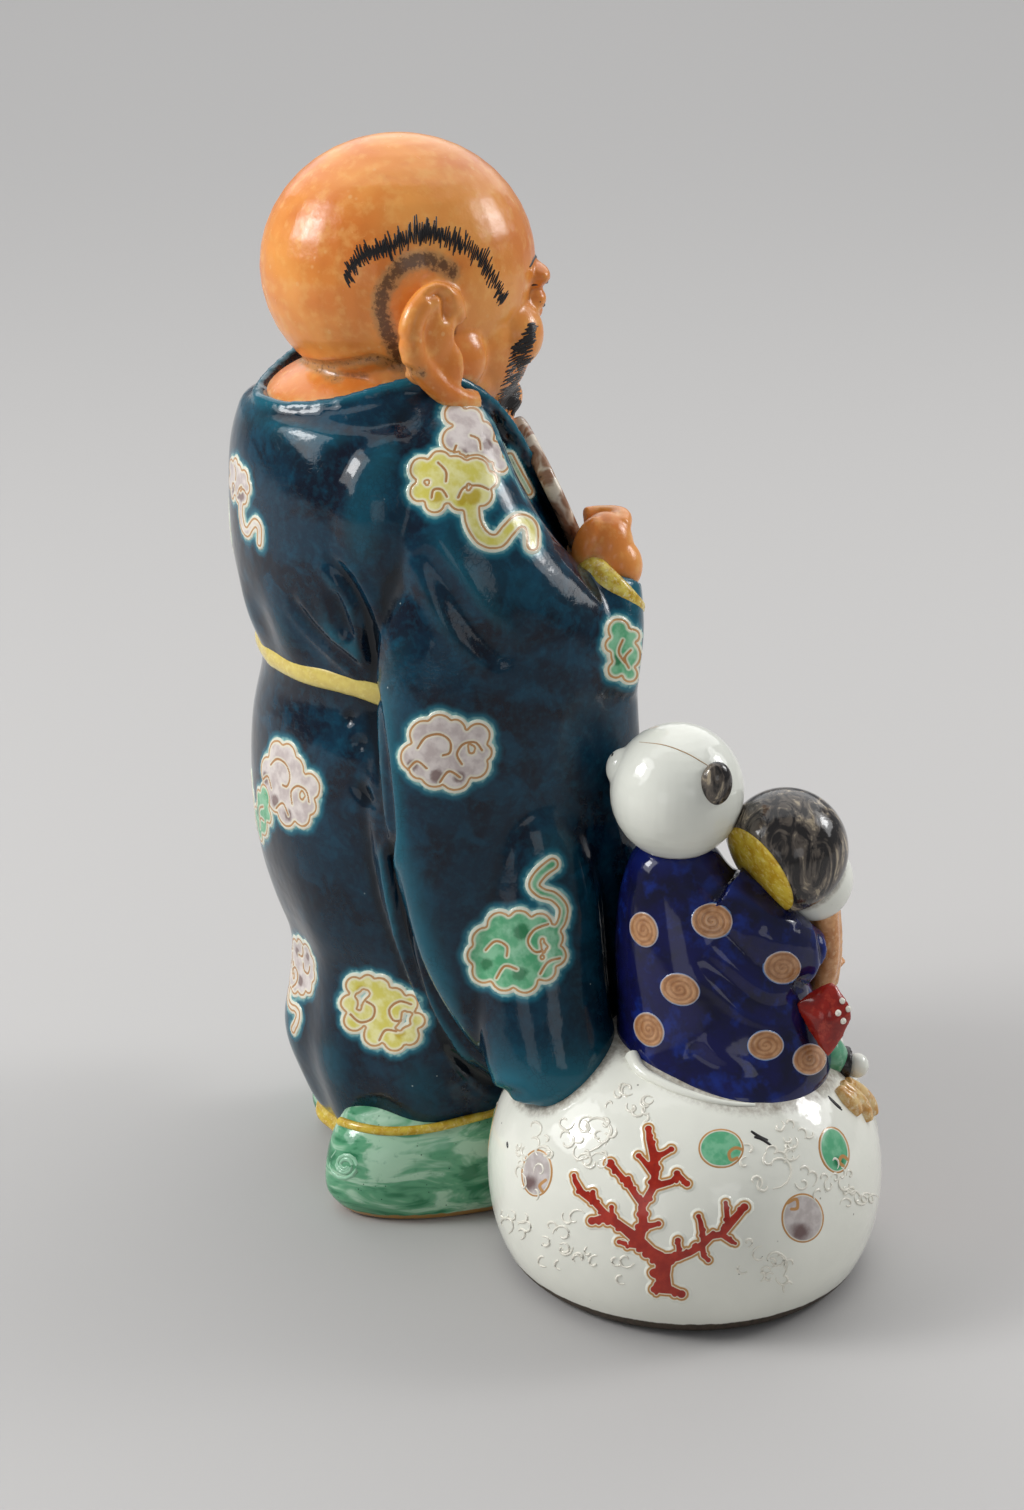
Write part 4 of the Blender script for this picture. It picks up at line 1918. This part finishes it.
def makeMarks():
    sackTree, headTree, shoeTree = treeOf(sackBag), treeOf(childHead), treeOf(rightShoe)
    dark = [traced(sackTree, evenRows(line, 5)) for line in marks["chips"]]
    dark.append(traced(headTree, evenRows(marks["earLine"], 6)))
    dark = brush("darkMarks", dark, 0.6, steps=6, sink=0.5)
    hairline = brush("hairline", [traced(headTree, evenRows(marks["headLine"], 16))], 0.22, steps=24, sink=0.4)
    (x, y), size, start, turns = marks["heel"]
    rows = [curlicue(x, y, size * grow, start, turns, 1) for grow in (1.0, 0.6)]
    swirl = brush("heelSwirl", [traced(shoeTree, row) for row in rows], 0.8, steps=20, sides=3, sink=0.55)
    radii = [marks["petalRadius"]] * 3
    spots = front.line(treeOf(redBib), marks["petals"])
    flower = joined("petals", [pebble("petal", spot / mm, radii, segments=16) for spot in spots])
    polish(flower)
    return dark, hairline, swirl, flower


darkMarks, hairline, heelSwirl, petals = makeMarks()


def enamelGlaze(name, deep, main, light):
    # a motif: its own colour, a tan-gold outline, and a pale border running out into the ground
    glaze = Glaze(name, roughness=0.12)
    wobble = glaze.noise(2.2, 2) - 0.5
    edge = glaze.value("edge") + wobble * 0.35
    line = glaze.value("line") + wobble * 0.15
    base = glaze.mix(glaze.noise(4.0, 3).between(0.36, 0.66), main, light)
    base = glaze.mix((glaze.value("blot") + glaze.noise(1.6, 3) * 0.6 - 0.3).between(0.12, 0.6) * 0.85, base, deep)
    base = glaze.mix(glaze.specks(2.0, 0.08) * glaze.noise(5.0).between(0.52, 0.58) * 0.5, base, deep)
    base = glaze.mix(edge.between(-1.6, -0.85) * 0.75, base, cream)
    base = glaze.mix(line.between(1.0, 0.55) * 0.65, base, cream)
    base = glaze.mix(line.between(0.42, 0.24), base, gold)
    ring = (abs(edge + 0.42) * -1.0 + 0.37).between(0.0, 0.16)
    base = glaze.mix(ring, base, glaze.mix(glaze.noise(3.0), gold, shade(206, 162, 112)))
    base = glaze.mix(edge.between(-0.08, 0.1), base, shade(226, 226, 208))
    base = glaze.mix(edge.between(0.45, 0.95), base, shade(150, 200, 192))
    glaze.dye(base)
    glaze.ripple(glaze.noise(2.2, 3) * 0.5 + line.between(0.6, 0.2) * -0.6 + ring * -0.5, 0.6, 0.2)
    return glaze


def dotGlaze():
    # tan discs with a brown spiral and a pale rim
    glaze = Glaze("tanDots", roughness=0.12)
    edge = glaze.value("edge") + (glaze.noise(1.8, 2) - 0.5) * 0.25
    base = glaze.mix(glaze.noise(2.6, 3).between(0.35, 0.65), shade(172, 122, 82), shade(196, 148, 106))
    spiral = glaze.value("line") + (glaze.noise(2.4, 2) - 0.5) * 0.5
    base = glaze.mix(spiral.between(0.42, 0.05) * 0.6, base, shade(140, 92, 56))
    base = glaze.mix(edge.between(-0.35, 0.0) * 0.7, base, shade(196, 184, 176))
    base = glaze.mix(edge.between(0.0, 0.3), base, shade(96, 136, 190))
    base = glaze.mix(edge.between(0.3, 0.7), base, shade(30, 60, 150))
    glaze.dye(base)
    glaze.ripple(glaze.value("line").between(0.5, 0.1) * -1.0, 0.5, 0.15)
    return glaze


def roundelGlaze(name, deep, main, light):
    # a colour wash inside a thin gold ring
    glaze = Glaze(name, roughness=0.1)
    edge = glaze.value("edge") + (glaze.noise(2.0, 2) - 0.5) * 0.2
    base = glaze.mix(glaze.noise(3.0, 3).between(0.38, 0.66), main, light)
    base = glaze.mix((glaze.value("blot") + glaze.noise(2.0) * 0.4 - 0.2).between(0.1, 0.75), base, deep)
    base = glaze.mix(edge.between(-0.95, -0.65), base, shade(226, 222, 206))
    base = glaze.mix(glaze.value("line").between(0.55, 0.3), base, shade(190, 140, 84))
    ring = (abs(edge + 0.3) * -1.0 + 0.3).between(0.0, 0.12)
    base = glaze.mix(ring, base, shade(190, 140, 84))
    base = glaze.mix(edge.between(-0.02, 0.1), base, shade(240, 240, 228))
    glaze.dye(base)
    return glaze


def coralGlaze():
    # thick red, a bare gap, and a gold line that follows it round
    glaze = Glaze("coralRed", roughness=0.14)
    edge = glaze.value("edge") + (glaze.noise(1.8, 2) - 0.5) * 0.2
    red = glaze.mix(glaze.noise(4.0, 3).between(0.35, 0.65), shade(150, 30, 14), shade(176, 46, 24))
    red = glaze.mix(glaze.noise(1.5, 3).between(0.6, 0.75) * 0.5, red, shade(110, 26, 20))
    base = glaze.mix(edge.between(-0.1, 0.08), red, shade(230, 222, 200))
    ring = (abs(edge - 0.52) * -1.0 + 0.32).between(0.0, 0.14)
    base = glaze.mix(ring, base, glaze.mix(glaze.noise(2.5), shade(176, 118, 56), shade(206, 158, 96)))
    base = glaze.mix(edge.between(0.85, 1.05), base, shade(240, 240, 228))
    glaze.dye(base)
    return glaze


def flatGlaze(name, tint, roughness=0.12):
    glaze = Glaze(name, roughness=roughness)
    glaze.dye(tint)
    return glaze


glazes.update({
    "lavenderCloud": enamelGlaze("lavenderCloud", shade(118, 92, 88), shade(196, 182, 178), shade(226, 216, 210)),
    "greenCloud": enamelGlaze("greenCloud", shade(28, 112, 66), shade(84, 166, 118), shade(136, 196, 156)),
    "yellowCloud": enamelGlaze("yellowCloud", shade(190, 164, 34), shade(216, 206, 96), shade(234, 228, 160)),
    "dots": dotGlaze(),
    "lavenderRound": roundelGlaze("lavenderRound", shade(110, 86, 84), shade(186, 176, 172), shade(206, 198, 194)),
    "greenRound": roundelGlaze("greenRound", shade(34, 120, 74), shade(92, 172, 128), shade(126, 192, 152)),
    "coral": coralGlaze(),
    "slip": flatGlaze("whiteSlip", shade(236, 232, 218)),
    "hairline": flatGlaze("tanLine", shade(170, 140, 104), 0.3),
    "swirl": flatGlaze("paleGreen", shade(150, 198, 166)),
    "ink": flatGlaze("blackInk", shade(24, 20, 20), 0.3),
})  # fmt: skip

painted = {
    "lavenderCloud": [cloudGroups[0]],
    "greenCloud": [cloudGroups[1]],
    "yellowCloud": [cloudGroups[2]],
    "dots": [dotPatches],
    "lavenderRound": [lavenderRounds],
    "greenRound": [greenRounds],
    "coral": [coral],
    "slip": [sackScrolls, petals],
    "ink": [hairStrokes, browStrokes, darkMarks],
    "hairline": [hairline],
    "swirl": [heelSwirl],
}
for look, group in painted.items():
    glazes[look].onto(*group)
dressed.update(painted)


# every piece rides on the one solid, and stands for it

for group in dressed.values():
    for piece in group:
        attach(piece, "root")
        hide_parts("hotei_group")


# a plain pale floor, soft studio lamps and the camera

studio = {
    "floor": 14.0,
    "floorTint": shade(182, 180, 178),
    "world": 0.35,
    "lamps": [  # place, size, power: two soft boxes, each with a brighter middle, and one wide panel overhead
        ((0.35, 1.24, 0.98), 0.42, 9.0),
        ((0.35, 1.26, 1.00), 0.95, 9.5),
        ((-0.22, -1.40, 0.92), 0.34, 4.2),
        ((-0.22, -1.42, 0.94), 0.80, 6.0),
        ((2.2, -0.9, 3.4), 7.0, 185.0),
        ((-1.75, 0.05, 0.55), 0.5, 0.9),
        ((-1.30, 1.25, 0.35), 0.6, 1.0),
    ],
}


def makeStudio():
    deselect()
    bpy.ops.mesh.primitive_plane_add(size=studio["floor"])
    floor = bpy.context.object
    floor.name = "studioFloor"
    paper = Glaze("floorPaper", roughness=0.7, sheen=0.2)
    paper.dye(studio["floorTint"])
    paper.onto(floor)
    for place, size, power in studio["lamps"]:
        bpy.ops.object.light_add(type="AREA", location=place)
        lamp = bpy.context.object
        lamp.data.shape = "SQUARE"
        lamp.data.size = size
        lamp.data.energy = power
        aim = Vector((0.0, 0.0, 0.14)) - lamp.location
        lamp.rotation_euler = aim.to_track_quat("-Z", "Y").to_euler()
    world = bpy.data.worlds.new("studioAir")
    world.use_nodes = True
    sky = world.node_tree.nodes["Background"]
    sky.inputs["Color"].default_value = (*shade(222, 226, 232), 1.0)
    sky.inputs["Strength"].default_value = studio["world"]
    bpy.context.scene.world = world
    bpy.context.scene.view_settings.view_transform = "Standard"


makeStudio()


def makeCamera():
    bpy.ops.object.camera_add(location=front.eye)
    camera = bpy.context.object
    camera.rotation_euler = (-front.back).to_track_quat("-Z", "Y").to_euler()
    camera.data.sensor_width = photo["sensor"]
    camera.data.lens = photo["lens"]
    camera.data.clip_start = photo["nearest"]
    bpy.context.scene.camera = camera


makeCamera()
